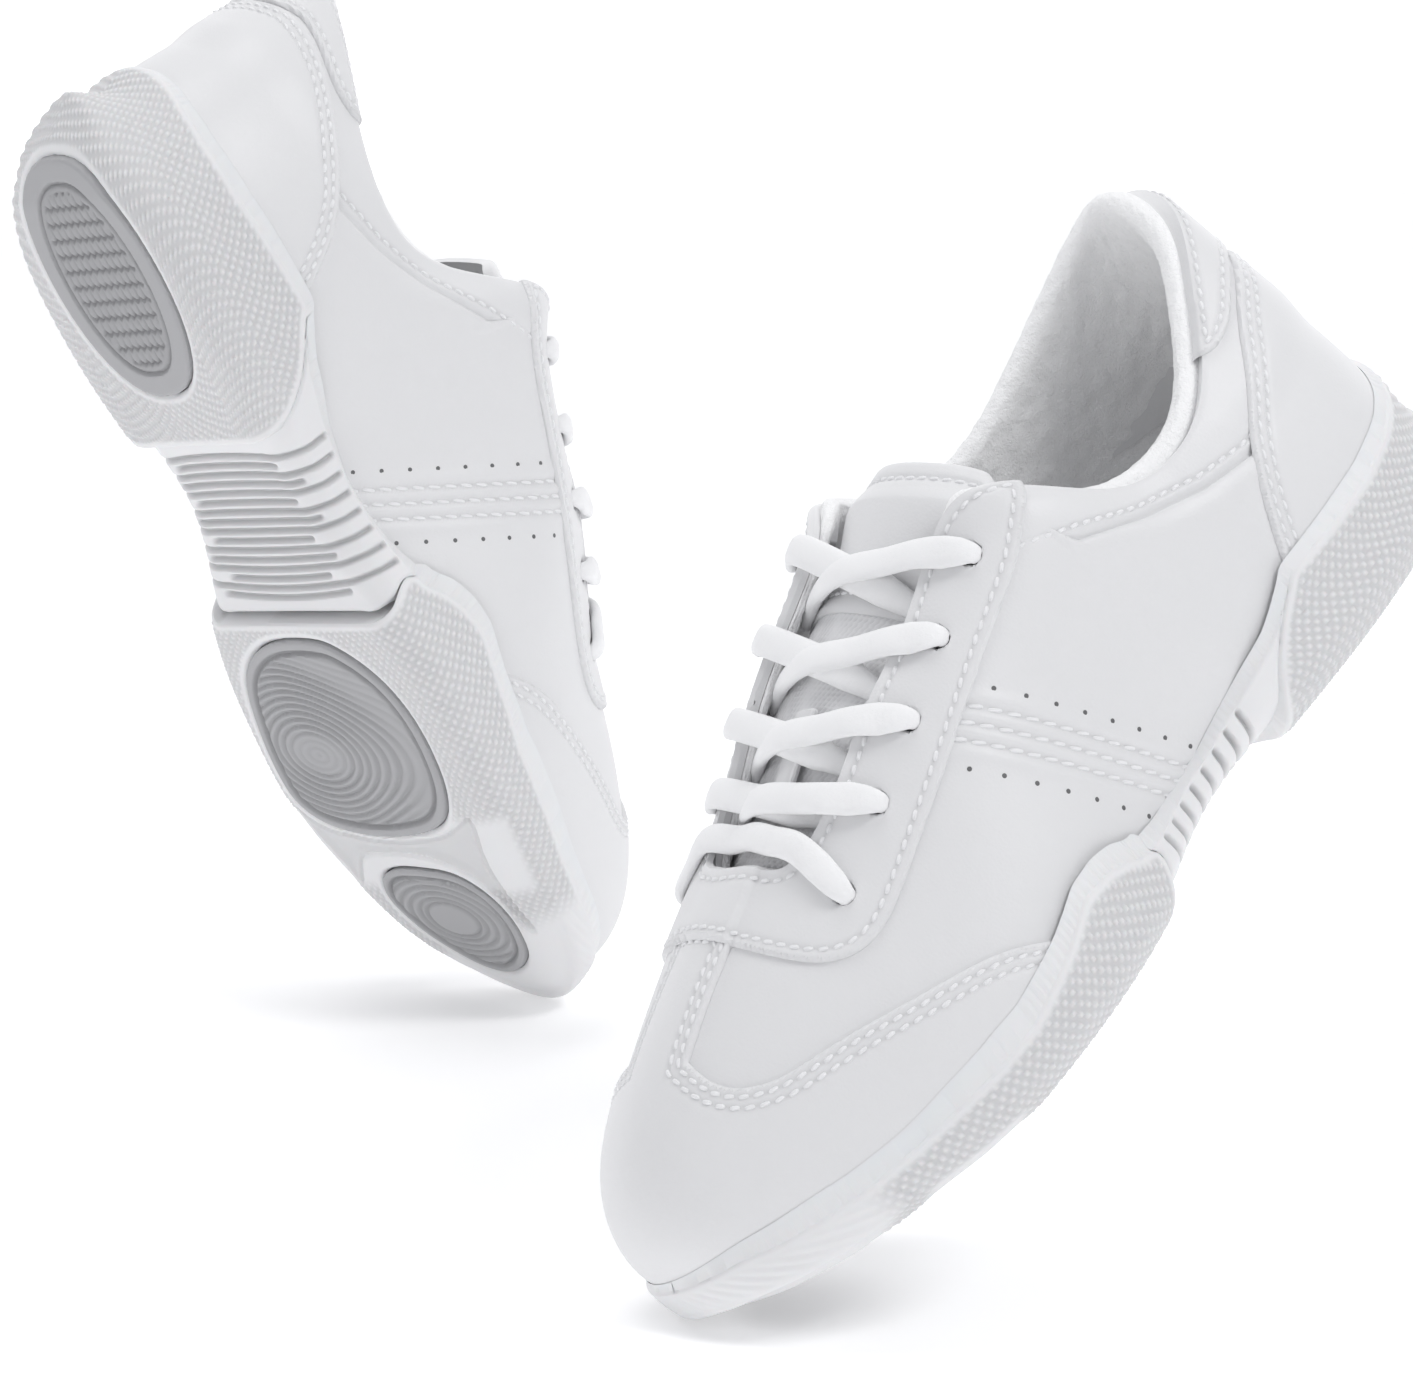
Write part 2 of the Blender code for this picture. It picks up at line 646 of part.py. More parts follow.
def lace_row(k):
    """Strands of one lace row as separate solids: one bar, or two that cross."""
    if k == LACE_TURNS - 1:
        near, up = strand(k, 1, True)
        away, up = strand(k, -1, True)
        path = near + away[::-1][1:]
        middle = (near[-1] + away[-1]) / 2
        path[len(near) - 1] = middle
        size = len(path)
        wide = [3.6, 5.0] + [LACE_W] * (size - 4) + [5.0, 3.6]
        thick = [LACE_T] * size
        ups = [eyelet(k, 1)[1]] * 3 + [up] * (size - 6) + [eyelet(k, -1)[1]] * 3
        return [ribbon(path, ups, wide, thick)]
    out = []
    for side in (1, -1):
        path, up = strand(k, side, False)
        size = len(path)
        wide = [3.6, 5.0] + [LACE_W] * (size - 3) + [LACE_W * 0.8]
        thick = [LACE_T] * size
        n = eyelet(k, side)[1]
        ups = [n, n, n] + [up] * (size - 3)
        out.append(ribbon(path, ups, wide, thick))
    return out


def build_shoe(shoe):
    """All the pieces of one shoe."""
    name = shoe.name + "_"
    count = len(COLUMNS)
    whole = list(range(count))
    all_rows = list(range(len(ROWS)))
    leather = {}
    for key in ("quarter_lateral", "quarter_medial", "eyestay", "collar", "heel_foxing",
                "heel_tab", "vamp_crease", "toe_cap", "tongue_top", "tongue_loop"):
        leather[key] = material(name + key, (0.86, 0.86, 0.87), 0.42)
    rubber = {}
    for key in ("sole_heel", "sole_arch", "sole_forefoot", "sole_toe"):
        rubber[key] = material(name + key, (0.80, 0.80, 0.81), 0.6)
    tread = {}
    for key in ("heel_tread", "forefoot_tread", "toe_tread"):
        tread[key] = material(name + key, (0.62, 0.62, 0.64), 0.65)
    cloth = {}
    for key in ("lining", "insole", "insole_toe", "tongue_mesh", "lace_1", "lace_2",
                "lace_3", "lace_4", "lace_5"):
        cloth[key] = material(name + key, (0.88, 0.88, 0.89), 0.95)
    stiff = {}
    for key in ("heel_counter", "toe_puff"):
        stiff[key] = material(name + key, (0.80, 0.77, 0.70), 0.7)

    # ---- cutters shared by several pieces
    wedge = math.tan(math.radians(FLEX_WEDGE))
    top = 120.0
    lean = (top - FLEX_Z) * wedge
    ahead = cutter(shoe, "ahead", flex_prism(
        [(0.15, -30), (0.15, FLEX_Z), (0.15 + lean, top), (180, top), (180, -30)]))
    behind = cutter(shoe, "behind", flex_prism(
        [(-0.15, -30), (-0.15, top), (-250, top), (-250, -30)]))
    crease = cutter(shoe, "crease", flex_prism(
        [(-250, -30), (-0.15, -30), (-0.15, FLEX_Z + 1.7), (1.7 * wedge - 0.19, FLEX_Z + 1.7),
         (lean - 0.19, top), (0.15, top), (0.15, 46), (-250, 46)]))
    above_rim = cutter(shoe, "above_rim", side_prism(
        RIM_LINE + [(280, 150), (-20, 150)]))
    above_collar = cutter(shoe, "above_collar", two_sided(
        COLLAR_LINE[1] + [(135, 150), (-30, 150)],
        COLLAR_LINE[-1] + [(135, 150), (-30, 150)]))
    below_collar = cutter(shoe, "below_collar", two_sided(
        [(x, z - GAP) for x, z in COLLAR_LINE[1]] + [(300, 150), (300, -20), (-30, -20)],
        [(x, z - GAP) for x, z in COLLAR_LINE[-1]] + [(300, 150), (300, -20), (-30, -20)]))
    window_out = cutter(shoe, "window_lateral", side_prism(WINDOW, STRIP[0], 90))
    window_in = cutter(shoe, "window_medial", side_prism(
        [(x, z + 3) for x, z in WINDOW], -90, STRIP[1]))

    # ---- eyelet holes through the eyestay and the quarters
    hole_points = []
    hole_faces = []
    for k in range(LACE_TURNS):
        for side in (1, -1):
            place, n, u = eyelet(k, side)
            a = np.cross(n, [1.0, 0, 0])
            a = a / np.linalg.norm(a)
            b = np.cross(n, a)
            start = len(hole_points)
            for reach in (-9.0, 6.0):
                for q in range(6):
                    w = 2 * math.pi * q / 6
                    hole_points.append(place + n * reach
                                       + (a * math.cos(w) + b * math.sin(w)) * EYELET_R)
            ring = list(range(start, start + 6))
            hole_faces.append(tuple(ring))
            hole_faces.append(tuple(v + 6 for v in ring))
            for q in range(6):
                v, w = ring[q], ring[(q + 1) % 6]
                hole_faces.append((v, w, w + 6, v + 6))
    holes = cutter(shoe, "eyelets", (hole_points, hole_faces))

    # ---- joints carry their pieces on empties
    toe_axis = add_empty(name + "toe_axis",
                         Matrix.Translation((FLEX_X * MM, 0, FLEX_Z * MM)), shoe.root)
    tongue_axis = add_empty(name + "tongue_axis",
                            Matrix.Translation((TONGUE_X * MM, 0, TONGUE_Z * MM)), shoe.root)

    # ---- sole units
    heel_cut = [(-40, -20), (93, -20), (90, 0), (84.5, 11.5), (66, 25.8), (60, 70), (-40, 70)]
    arch_cut = [(93.3, -20), (90.3, 0), (84.8, 11.8), (66.4, 26), (60.4, 70), (150, 70),
                (142.2, 20), (136, 12), (143, 0), (146, -20)]
    fore_cut = [(150.4, 70), (142.6, 20), (136.4, 12), (143.4, 0), (146.4, -20),
                (330, -20), (330, 70)]
    main = sole_tray(GROUND)
    arch = sole_tray(ARCH_GROUND)
    heel = add_mesh(shoe, name + "sole_heel", main[0], main[1], rubber["sole_heel"])
    carve(heel, above_rim, "DIFFERENCE")
    carve(heel, cutter(shoe, "heel_unit", side_prism(heel_cut)), "INTERSECT")
    mid = add_mesh(shoe, name + "sole_arch", arch[0], arch[1], rubber["sole_arch"])
    carve(mid, above_rim, "DIFFERENCE")
    carve(mid, cutter(shoe, "arch_unit", side_prism(arch_cut)), "INTERSECT")
    groove_points = []
    groove_faces = []
    for k in range(6):
        at = 95.0 + 7.2 * k
        corners = ((at, -60), (at + 2.2, -60), (at + 2.2, 60), (at, 60))
        box = [(x, y, z) for z in (-5, line_at(ARCH_GROUND, at) + 1.3) for x, y in corners]
        s = len(groove_points)
        groove_points += box
        groove_faces += [(s, s + 1, s + 2, s + 3), (s + 4, s + 5, s + 6, s + 7)]
        for q in range(4):
            r = (q + 1) % 4
            groove_faces.append((s + q, s + r, s + 4 + r, s + 4 + q))
    carve(mid, cutter(shoe, "arch_grooves", (groove_points, groove_faces)), "DIFFERENCE")
    fore = add_mesh(shoe, name + "sole_forefoot", main[0], main[1], rubber["sole_forefoot"])
    carve(fore, above_rim, "DIFFERENCE")
    carve(fore, cutter(shoe, "fore_unit", side_prism(fore_cut)), "INTERSECT")
    carve(fore, behind, "INTERSECT")
    toe = add_mesh(shoe, name + "sole_toe", main[0], main[1], rubber["sole_toe"],
                   parent=toe_axis)
    carve(toe, above_rim, "DIFFERENCE")
    carve(toe, ahead, "INTERSECT")

    # ---- tread pads in pockets of the sole
    for key, outline, body, host in (
            ("heel_tread", HEEL_PAD, None, heel),
            ("forefoot_tread", FOREFOOT_PAD, None, fore),
            ("toe_tread", TOE_PAD, toe_axis, toe)):
        pad = pad_rings(outline, (-TREAD_PROUD, TREAD - TREAD_PROUD))
        pocket = pad_rings(grown(outline, GAP), (-20, TREAD - TREAD_PROUD + GAP))
        carve(host, cutter(shoe, key + "_pocket", pocket), "DIFFERENCE")
        add_mesh(shoe, name + key, pad[0], pad[1], tread[key], parent=body)

    # ---- insole in two parts, split at the flex line
    rings = []
    for lift, slack in ((0.1, 0.8), (INSOLE, 1.2)):
        rings.append([GRID[i, 0] + NORMAL[i, 0] * (lining_back(i, 0) - slack)
                      + [0, 0, lift] for i in range(count)])
    pts, fcs = stacked_rings(rings)
    sock = add_mesh(shoe, name + "insole", pts, fcs, cloth["insole"])
    carve(sock, behind, "INTERSECT")
    sock_toe = add_mesh(shoe, name + "insole_toe", pts, fcs, cloth["insole_toe"],
                        parent=toe_axis)
    carve(sock_toe, ahead, "INTERSECT")

    # ---- quarters, one on each side, below the collar line and behind the flex
    half = count // 2
    outer_columns = list(range(0, half + 1))
    inner_columns = list(range(half, count)) + [0]
    pts, fcs = shell(outer_columns, all_rows, constant(-BASE), constant(0.0), False)
    quarter = add_mesh(shoe, name + "quarter_lateral", pts, fcs, leather["quarter_lateral"])
    inner_pts, inner_fcs = shell(inner_columns, all_rows, constant(-BASE), constant(0.0), False)
    quarter_in = add_mesh(shoe, name + "quarter_medial", inner_pts, inner_fcs,
                          leather["quarter_medial"])
    heel_seam = cutter(shoe, "heel_seam", side_prism(
        [(-40, -20), (60, -20), (60, 150), (-40, 150)], -GAP / 2, GAP / 2))
    toe_seam = cutter(shoe, "toe_seam", side_prism(
        [(150, -20), (300, -20), (300, 150), (150, 150)], -3 - 2 * GAP, -3 + 2 * GAP))
    for obj in (quarter, quarter_in):
        carve(obj, below_collar, "INTERSECT")
        carve(obj, behind, "INTERSECT")
        carve(obj, heel_seam, "DIFFERENCE")
        carve(obj, toe_seam, "DIFFERENCE")
        carve(obj, holes, "DIFFERENCE")

    # ---- padded collar: thick band between the quarters' top and the rim
    collar_columns = [i for i in whole if column_x(i) < 113]
    start = max(i for i in collar_columns if i < half)
    order = list(range(count - start, count)) + list(range(0, start + 1))

    def pad_back(i, j):
        return lining_top(i, j) + GAP

    pts, fcs = shell(order, [2, 3, 4, 5, 6], pad_back, constant(0.0), False)
    pad = add_mesh(shoe, name + "collar", pts, fcs, leather["collar"])
    carve(pad, above_collar, "INTERSECT")
    stay_block = cutter(shoe, "stay_block", side_prism([(103, -20), (103, 150), (300, 150),
                                                       (300, -20)]))
    carve(pad, stay_block, "DIFFERENCE")

    # ---- overlays: one sheet cut into its patterns
    sheet = shell(whole, all_rows, constant(GAP), constant(GAP + LEATHER), True)
    stay = add_mesh(shoe, name + "eyestay", sheet[0], sheet[1], leather["eyestay"])
    carve(stay, cutter(shoe, "stay", two_sided(STAY_EDGE[1], STAY_EDGE[-1])), "INTERSECT")
    carve(stay, holes, "DIFFERENCE")
    fox = add_mesh(shoe, name + "heel_foxing", sheet[0], sheet[1], leather["heel_foxing"])
    carve(fox, cutter(shoe, "foxing", side_prism(FOXING)), "INTERSECT")
    tab = add_mesh(shoe, name + "heel_tab", sheet[0], sheet[1], leather["heel_tab"])
    carve(tab, cutter(shoe, "tab", side_prism(HEEL_TAB)), "INTERSECT")
    cap_edge = cutter(shoe, "cap_edge", side_prism(CAP_EDGE))
    cap = add_mesh(shoe, name + "toe_cap", sheet[0], sheet[1], leather["toe_cap"],
                   parent=toe_axis)
    carve(cap, ahead, "INTERSECT")
    carve(cap, window_out, "DIFFERENCE")
    carve(cap, window_in, "DIFFERENCE")

    # ---- crease zone: vamp between the quarters and the cap, with the cap's wings
    thick = shell(whole, all_rows, constant(-BASE), constant(GAP + LEATHER), True)
    vamp = add_mesh(shoe, name + "vamp_crease", thick[0], thick[1], leather["vamp_crease"])
    carve(vamp, cap_edge, "INTERSECT")
    carve(vamp, crease, "INTERSECT")
    under = shell(whole, all_rows, constant(-3.0), constant(GAP), True, 3.0)
    strip = add_mesh(shoe, name + "cut_under_wings", under[0], under[1], None, CUTTERS)
    carve(strip, cutter(shoe, "wing_side", flex_prism(
        [(0.15, -40), (0.15, 60), (-300, 60), (-300, -40)])), "INTERSECT")
    carve(vamp, strip, "DIFFERENCE")
    relief = shell(whole, all_rows, constant(0.0), constant(6.0), True)
    relief_out = add_mesh(shoe, name + "cut_relief_lateral", relief[0], relief[1], None,
                          CUTTERS)
    carve(relief_out, window_out, "INTERSECT")
    relief_in = add_mesh(shoe, name + "cut_relief_medial", relief[0], relief[1], None,
                         CUTTERS)
    carve(relief_in, window_in, "INTERSECT")
    carve(vamp, relief_out, "DIFFERENCE")
    carve(vamp, relief_in, "DIFFERENCE")

    # ---- toe puff behind the cap, heel counter behind the quarters
    puff_shape = shell(whole, all_rows, constant(-BASE), constant(0.0), True)
    puff = add_mesh(shoe, name + "toe_puff", puff_shape[0], puff_shape[1],
                    stiff["toe_puff"], parent=toe_axis)
    carve(puff, ahead, "INTERSECT")
    counter_columns = [i for i in order if column_x(i) < 62]
    pts, fcs = shell(counter_columns, [0, 1, 2], constant(-BASE - GAP - 0.9), constant(-BASE - GAP), False)
    add_mesh(shoe, name + "heel_counter", pts, fcs, stiff["heel_counter"])

    # ---- fleece lining, from the sole to the rim, open at the flex
    pts, fcs = shell(whole, all_rows, lining_back, lining_top, True)
    fleece = add_mesh(shoe, name + "lining", pts, fcs, cloth["lining"])
    carve(fleece, behind, "INTERSECT")

    # ---- tongue: padded leather top, open mesh below, keeper loop for the lace
    rows = tongue_sections()
    top_rows = rows[5:]
    mesh_rows = rows[:5].copy()
    pts, fcs = slab(mesh_rows, lambda i, j: 2.2)
    add_mesh(shoe, name + "tongue_mesh", pts, fcs, cloth["tongue_mesh"], parent=tongue_axis)
    pts, fcs = slab(top_rows, lambda i, j: 4.5 if 0 < j < 4 and i < 4 else 2.5)
    add_mesh(shoe, name + "tongue_top", pts, fcs, leather["tongue_top"], parent=tongue_axis)

    keeper = rows[1:4, 2]
    keeper = [keeper[0] * 0.35 + keeper[1] * 0.65, keeper[1], (keeper[1] + keeper[2]) / 2,
              keeper[2]]
    lift = np.array([0.35, 0, 0.94])
    keeper = [p + lift * 1.5 for p in keeper]
    pts, fcs = ribbon(keeper, [lift] * 4, [9.0] * 4, [1.3] * 4)
    add_mesh(shoe, name + "tongue_loop", pts, fcs, leather["tongue_loop"],
             parent=tongue_axis)

    # ---- lace rows
    for k in range(LACE_TURNS):
        strands = lace_row(k)
        key = "lace_%d" % (k + 1)
        obj = add_mesh(shoe, name + key, strands[0][0], strands[0][1], cloth[key])
        if len(strands) > 1:
            carve(obj, cutter(shoe, key + "_cross", strands[1]), "UNION")
    return shoe


# =============================================================== arrangement
PARTS = bpy.data.collections.new("cheer_shoes")
bpy.context.scene.collection.children.link(PARTS)
CUTTERS = bpy.data.collections.new("cutters")
bpy.context.scene.collection.children.link(CUTTERS)
CUTTERS.hide_render = True


def stance(yaw, pitch, roll, place):
    """Turn a shoe standing flat into its pose: roll, then pitch, then yaw, in degrees."""
    turn = Matrix.Rotation(math.radians(yaw), 4, "Z")
    turn = turn @ Matrix.Rotation(math.radians(pitch), 4, "Y")
    turn = turn @ Matrix.Rotation(math.radians(roll), 4, "X")
    return Matrix.Translation([c * MM for c in place]) @ turn


LEFT_STANCE = (-140.0, 41.3, 21.1, (169.05, -39.1, 166.8))
RIGHT_STANCE = (22.0, 62.4, -16.8, (-161.45, 83.9, 229.3))
LEFT = Shoe("left", 1, stance(*LEFT_STANCE))
RIGHT = Shoe("right", -1, stance(*RIGHT_STANCE))
for shoe in (LEFT, RIGHT):
    build_shoe(shoe)
for obj in CUTTERS.objects:
    obj.display_type = "WIRE"
    obj.hide_render = True
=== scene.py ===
import json
import math

import bpy
import numpy as np
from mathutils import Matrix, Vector


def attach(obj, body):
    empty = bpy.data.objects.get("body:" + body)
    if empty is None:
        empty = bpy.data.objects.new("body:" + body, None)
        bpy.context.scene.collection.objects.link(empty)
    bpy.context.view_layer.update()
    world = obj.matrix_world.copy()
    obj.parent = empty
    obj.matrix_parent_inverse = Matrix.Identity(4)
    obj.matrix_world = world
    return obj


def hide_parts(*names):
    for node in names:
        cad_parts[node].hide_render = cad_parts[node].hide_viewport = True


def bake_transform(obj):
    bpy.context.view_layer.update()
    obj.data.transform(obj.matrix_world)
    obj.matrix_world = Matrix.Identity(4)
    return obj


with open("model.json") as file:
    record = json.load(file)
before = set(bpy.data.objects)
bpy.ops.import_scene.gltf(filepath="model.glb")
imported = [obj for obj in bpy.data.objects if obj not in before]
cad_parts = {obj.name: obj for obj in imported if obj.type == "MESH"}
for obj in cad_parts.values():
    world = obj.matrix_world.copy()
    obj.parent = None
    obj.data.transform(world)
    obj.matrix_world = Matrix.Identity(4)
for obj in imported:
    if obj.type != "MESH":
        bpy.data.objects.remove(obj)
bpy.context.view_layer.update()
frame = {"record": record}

# ------------------------------------------------------------------ sizes, mm
OVERLAY = 1.3              # height of an overlay above the quarters
EDGE_ROUND = 0.8           # rounding of a cut leather edge
BASE = 1.4                 # thickness of the quarters
STITCH_PITCH = 3.3
STITCH_LENGTH = 2.5
THREAD_R = 0.42
LACE_WIDE = 7.4
LACE_THICK = 3.0
EYELET_R = 2.3
FINE = 0.7                 # grid step of the upper
SOLE_FINE = 0.52           # grid step of the sole
PIP_PITCH = 2.9            # spacing of the sole's pips
PIP_SHADE = 0.22           # painted shade between the sole's pips: how much darker the rubber is drawn there
GROOVE_SHADE = 0.24        # painted shade in a groove: how much darker it is drawn, per mm of its depth
STRIPE_PITCH = 4.2         # the long stitches of the side stripes
STRIPE_STITCH = 3.5
STRIPE_THREAD_R = 0.45
FLEX_X = 209.0             # toe flex axis on the midline
FLEX_Z = 15.0              # and its height
FLEX_AHEAD = (0.966, 0.258)    # direction across it, seen from above
FLEX_BAND = (-30.0, 24.0)      # where the toe's flex zone starts and ends along that; points there are worked out but nothing is bent
HEEL_REST = (42.5, 0.5, -0.6)      # the two rest mounts in the shoe's own frame
FORE_REST = (172.0, -4.0, -0.6)
COLLAR_FADE = (96, 120)    # the collar's padding ends between these x
LAST_STATION = 12.9999     # just short of the toe section, the last of each side
FIRST_EYELET = 7           # section from which the eyelets are counted
FLOOR_Z = -0.0007          # metres, just below the lowest point of the finished pieces
CAMERA_PLACE = (0.004, -1.4780, 0.3722)    # metres; place, tilt and lens belong together
CAMERA_TILT = 79.8         # degrees up from straight down
CAMERA_LENS = 164.3        # rounded from a fit to points of the photograph

# ------------------------------------- the upper and the sole, as in the CAD source
# except that the arch's underside is up to 0.8 mm nearer the ground here.  These
# tables were listed from measurements of the photograph.
# sections round the shoe, each sole edge, low wall, mid wall, shoulder, top
HEEL = [(8, 0, 11), (5.5, 0, 30), (5.5, 0, 48), (7, 0, 68), (7, -2, 94)]
TOE = [(261, -3, 21.5), (263.5, -3, 32), (252, -3, 49), (220, -3, 63), (188, -3, 71)]
OUTER_SIDE = [
    [(13, 17, 11), (10.5, 19, 30), (11, 18.5, 49), (12.5, 17, 68), (13, 13, 87)],
    [(26, 28, 11), (23.5, 30, 27), (24, 30, 43), (26.5, 28, 59), (28, 22.5, 76)],
    [(50, 34, 11), (49, 36, 25), (50, 36.5, 38), (51, 35.5, 51), (52, 31.5, 63)],
    [(75, 33, 11), (74, 36, 25), (74, 37.5, 40), (74.5, 37.5, 53), (75, 33, 65)],
    [(98, 31, 11), (94, 36, 30), (92, 38.5, 50), (91, 40, 68), (91, 35, 80)],
    [(115, 32, 11), (110, 36.5, 33), (106, 39.5, 55), (103, 40, 77), (102, 31, 91)],
    [(130, 36, 11), (126, 38.5, 32), (121, 40, 54), (116, 38, 76), (112.5, 24, 88.5)],
    [(148, 42, 11), (145, 43, 30), (139, 41.5, 49), (134, 37, 70.5), (131, 23, 81.5)],
    [(172, 46, 11), (168, 46, 27), (160, 43, 45), (153, 36, 64), (150.5, 23, 77.5)],
    [(200, 45, 12), (194, 43.5, 28), (185, 39, 43), (176.5, 32, 57), (171, 21, 70.5)],
    [(226, 37, 14), (220, 35, 30), (209, 31, 45), (197, 24, 57), (184.5, 15, 67)],
    [(249, 22, 18.5), (248, 21, 31), (238, 18, 46), (215, 12, 60), (187, 6, 69.5)],
]
INNER_SIDE = [
    [(13, -17, 11), (10.5, -19, 30), (10.5, -18.5, 49), (11, -17, 70), (12, -15, 94)],
    [(26, -29, 11), (23.5, -31, 29), (24, -30.5, 49), (25.5, -28, 69), (27, -24.5, 89)],
    [(50, -36, 11), (49, -37, 29), (50, -36.5, 47), (51, -35, 64), (52, -31, 81.5)],
    [(75, -33, 11), (74, -36, 31), (74, -37, 49), (74.5, -37, 65), (75, -33, 80)],
    [(98, -28, 11), (94, -34, 34), (92, -38, 56), (91, -39, 75), (91, -34, 89)],
    [(115, -28, 11), (110, -35, 38), (106, -40, 64), (103, -38, 86), (102, -29, 99)],
    [(130, -31, 11), (126, -39, 37), (121, -41, 63), (117, -35, 87), (113, -19, 98)],
    [(148, -38, 11), (145, -43, 34), (140, -42, 58), (136, -33.5, 81), (132, -18, 92)],
    [(175, -46, 11), (170, -46, 32), (163, -42, 55), (156, -33, 75), (152, -18, 85.5)],
    [(205, -46, 12), (199, -47, 30), (190, -42, 50), (180, -31, 68), (171, -17, 77.5)],
    [(233, -40, 14), (229, -41, 30), (218, -36, 51), (201, -24, 66), (184.5, -14, 72.5)],
    [(256, -25, 19), (257, -26, 31), (246, -24, 49), (217, -14, 63), (187.5, -8, 71.5)],
]
OUTER_EDGE = [(-1, 0), (2, 9), (6, 16), (13, 24), (22, 31), (35, 36), (50, 38.5),
              (66, 38.5), (80, 37), (95, 35), (110, 35), (122, 37), (133, 41.5),
              (142, 45), (158, 49.5), (175, 51), (190, 50), (205, 47), (220, 41.5),
              (235, 36), (248, 29), (257, 20.5), (264, 10), (267.5, -4)]
INNER_EDGE = [(-1, 0), (2, -9), (6, -16), (13, -24), (22, -32), (35, -38), (50, -40),
              (66, -39.5), (80, -37), (95, -33), (110, -31.5), (122, -34), (133, -38.5),
              (142, -42), (158, -48), (175, -51), (190, -52), (205, -50.5),
              (220, -48), (235, -44), (248, -37), (258, -28), (264.5, -17), (267.5, -4)]
RIM_LINE = [(-20, 38), (-1, 37), (5, 32), (12, 27.5), (20, 25), (35, 23.5), (50, 24),
            (66, 25), (72, 22), (80, 18.5), (95, 16), (110, 14.5), (130, 14),
            (140, 15), (144, 18), (150, 20.5), (158, 21.5), (170, 18), (187, 14.5),
            (200, 14.5), (221, 16), (235, 18), (251, 21.5), (258, 24), (280, 27)]
GROUND = [(-1, 12), (3, 7), (10, 2), (20, 0), (195, 0), (210, 1.5), (225, 4),
          (240, 6.6), (252, 9.6), (260, 12.5), (268, 15.5)]
ARCH_GROUND = [(60, 3.2), (88, 4.2), (110, 4.6), (134, 3.2), (160, 2.2)]

# ------------------------------------------- pattern lines in side view (x, z)
COLLAR_OUT = [(-30, 49), (20, 46), (36, 45.5), (51, 47), (65, 51), (80, 58), (95, 67),
              (110, 75.5), (135, 88)]
COLLAR_IN = [(-30, 49), (20, 50), (36, 53), (51, 57), (65, 62), (80, 69), (95, 77),
             (110, 84.5), (135, 96)]
STAY_OUT = [(94, 90), (94.5, 84), (102, 79.5), (110, 75.5), (126, 70), (142, 64.5),
            (160, 58), (177, 51.8), (187, 48.8), (194, 48.6), (200, 51.5), (203.5, 57),
            (205, 64), (205, 72)]
STAY_IN = [(94, 98), (94.5, 93), (102, 88), (110, 84), (126, 78), (142, 71.5),
           (160, 64.5), (177, 57.5), (187, 54), (194, 53), (200, 55), (203.5, 60),
           (205, 66), (205, 74)]
FOXING_EDGE = [(12, 72.3), (20, 68.5), (28, 64), (38, 57), (49, 49), (57, 40), (62, 32),
               (66, 23), (70, 5)]
WINDOW_EDGE = [(160, 15), (166, 18.5), (176, 26.5), (187, 32), (200, 36.5), (210.5, 40),
               (220, 42.5), (227, 44.8), (231.5, 48.5), (232, 53), (228, 60), (220, 72)]
# places of the eyelets on the surface: (sections after FIRST_EYELET, t)
EYELETS = [(-0.1, 0.87), (0.94, 0.87), (1.89, 0.865), (2.68, 0.865), (3.5, 0.80)]
LACE_LEAN = 0.32           # how far towards the toe a strand meets the throat edge
LACE_REACH = [0.85, 0.8, 0.7, 0.5]    # and how far along it ends on the other side


# ================================================================ splines
def spline_matrix(knots, periodic):
    """Matrix from a cubic spline's values to its slopes."""
    n = len(knots)
    h = np.diff(knots)
    system = np.zeros((n, n))
    right = np.zeros((n, n))
    for i in range(1, n - 1):
        system[i, i - 1:i + 2] = h[i], 2 * (h[i - 1] + h[i]), h[i - 1]
        right[i, i - 1] = -3 * h[i] / h[i - 1]
        right[i, i + 1] = 3 * h[i - 1] / h[i]
        right[i, i] = -right[i, i - 1] - right[i, i + 1]
    if periodic:
        a, b = h[-1], h[0]
        system[0, 0] = 1
        system[0, -1] = -1
        system[-1, -2] = b
        system[-1, -1] = 2 * (a + b)
        system[-1, 1] = a
        right[-1, -1] = 3 * b / a
        right[-1, -2] = -3 * b / a
        right[-1, 1] = 3 * a / b
        right[-1, 0] = -3 * a / b
    else:
        system[0, :2] = 2, 1
        right[0, :2] = -3 / h[0], 3 / h[0]
        system[-1, -2:] = 1, 2
        right[-1, -2:] = -3 / h[-1], 3 / h[-1]
    return np.linalg.solve(system, right)


def spline_basis(knots, periodic, where):
    """Weights of the values at each place."""
    knots = np.asarray(knots, float)
    where = np.asarray(where, float)
    slopes = spline_matrix(knots, periodic)
    i = np.clip(np.searchsorted(knots, where) - 1, 0, len(knots) - 2)
    h = knots[i + 1] - knots[i]
    s = (where - knots[i]) / h
    rows = np.arange(len(where))
    out = (h * s * (1 - s) ** 2)[:, None] * slopes[i]
    out += (h * s * s * (s - 1))[:, None] * slopes[i + 1]
    out[rows, i] += (1 + 2 * s) * (1 - s) ** 2
    out[rows, i + 1] += s * s * (3 - 2 * s)
    return out


def curve(points, steps=10, closed=False):
    """Smooth curve through the points."""
    p = np.array(points, float)
    if closed:
        p = np.vstack([p, p[:1]])
    knots = np.concatenate([[0], np.cumsum(np.linalg.norm(np.diff(p, axis=0), axis=1) ** 0.5)])
    where = np.concatenate([np.linspace(knots[i], knots[i + 1], steps, endpoint=False)
                            for i in range(len(knots) - 1)] + [knots[-1:]])
    out = spline_basis(knots, closed, where) @ p
    return out[:-1] if closed else out


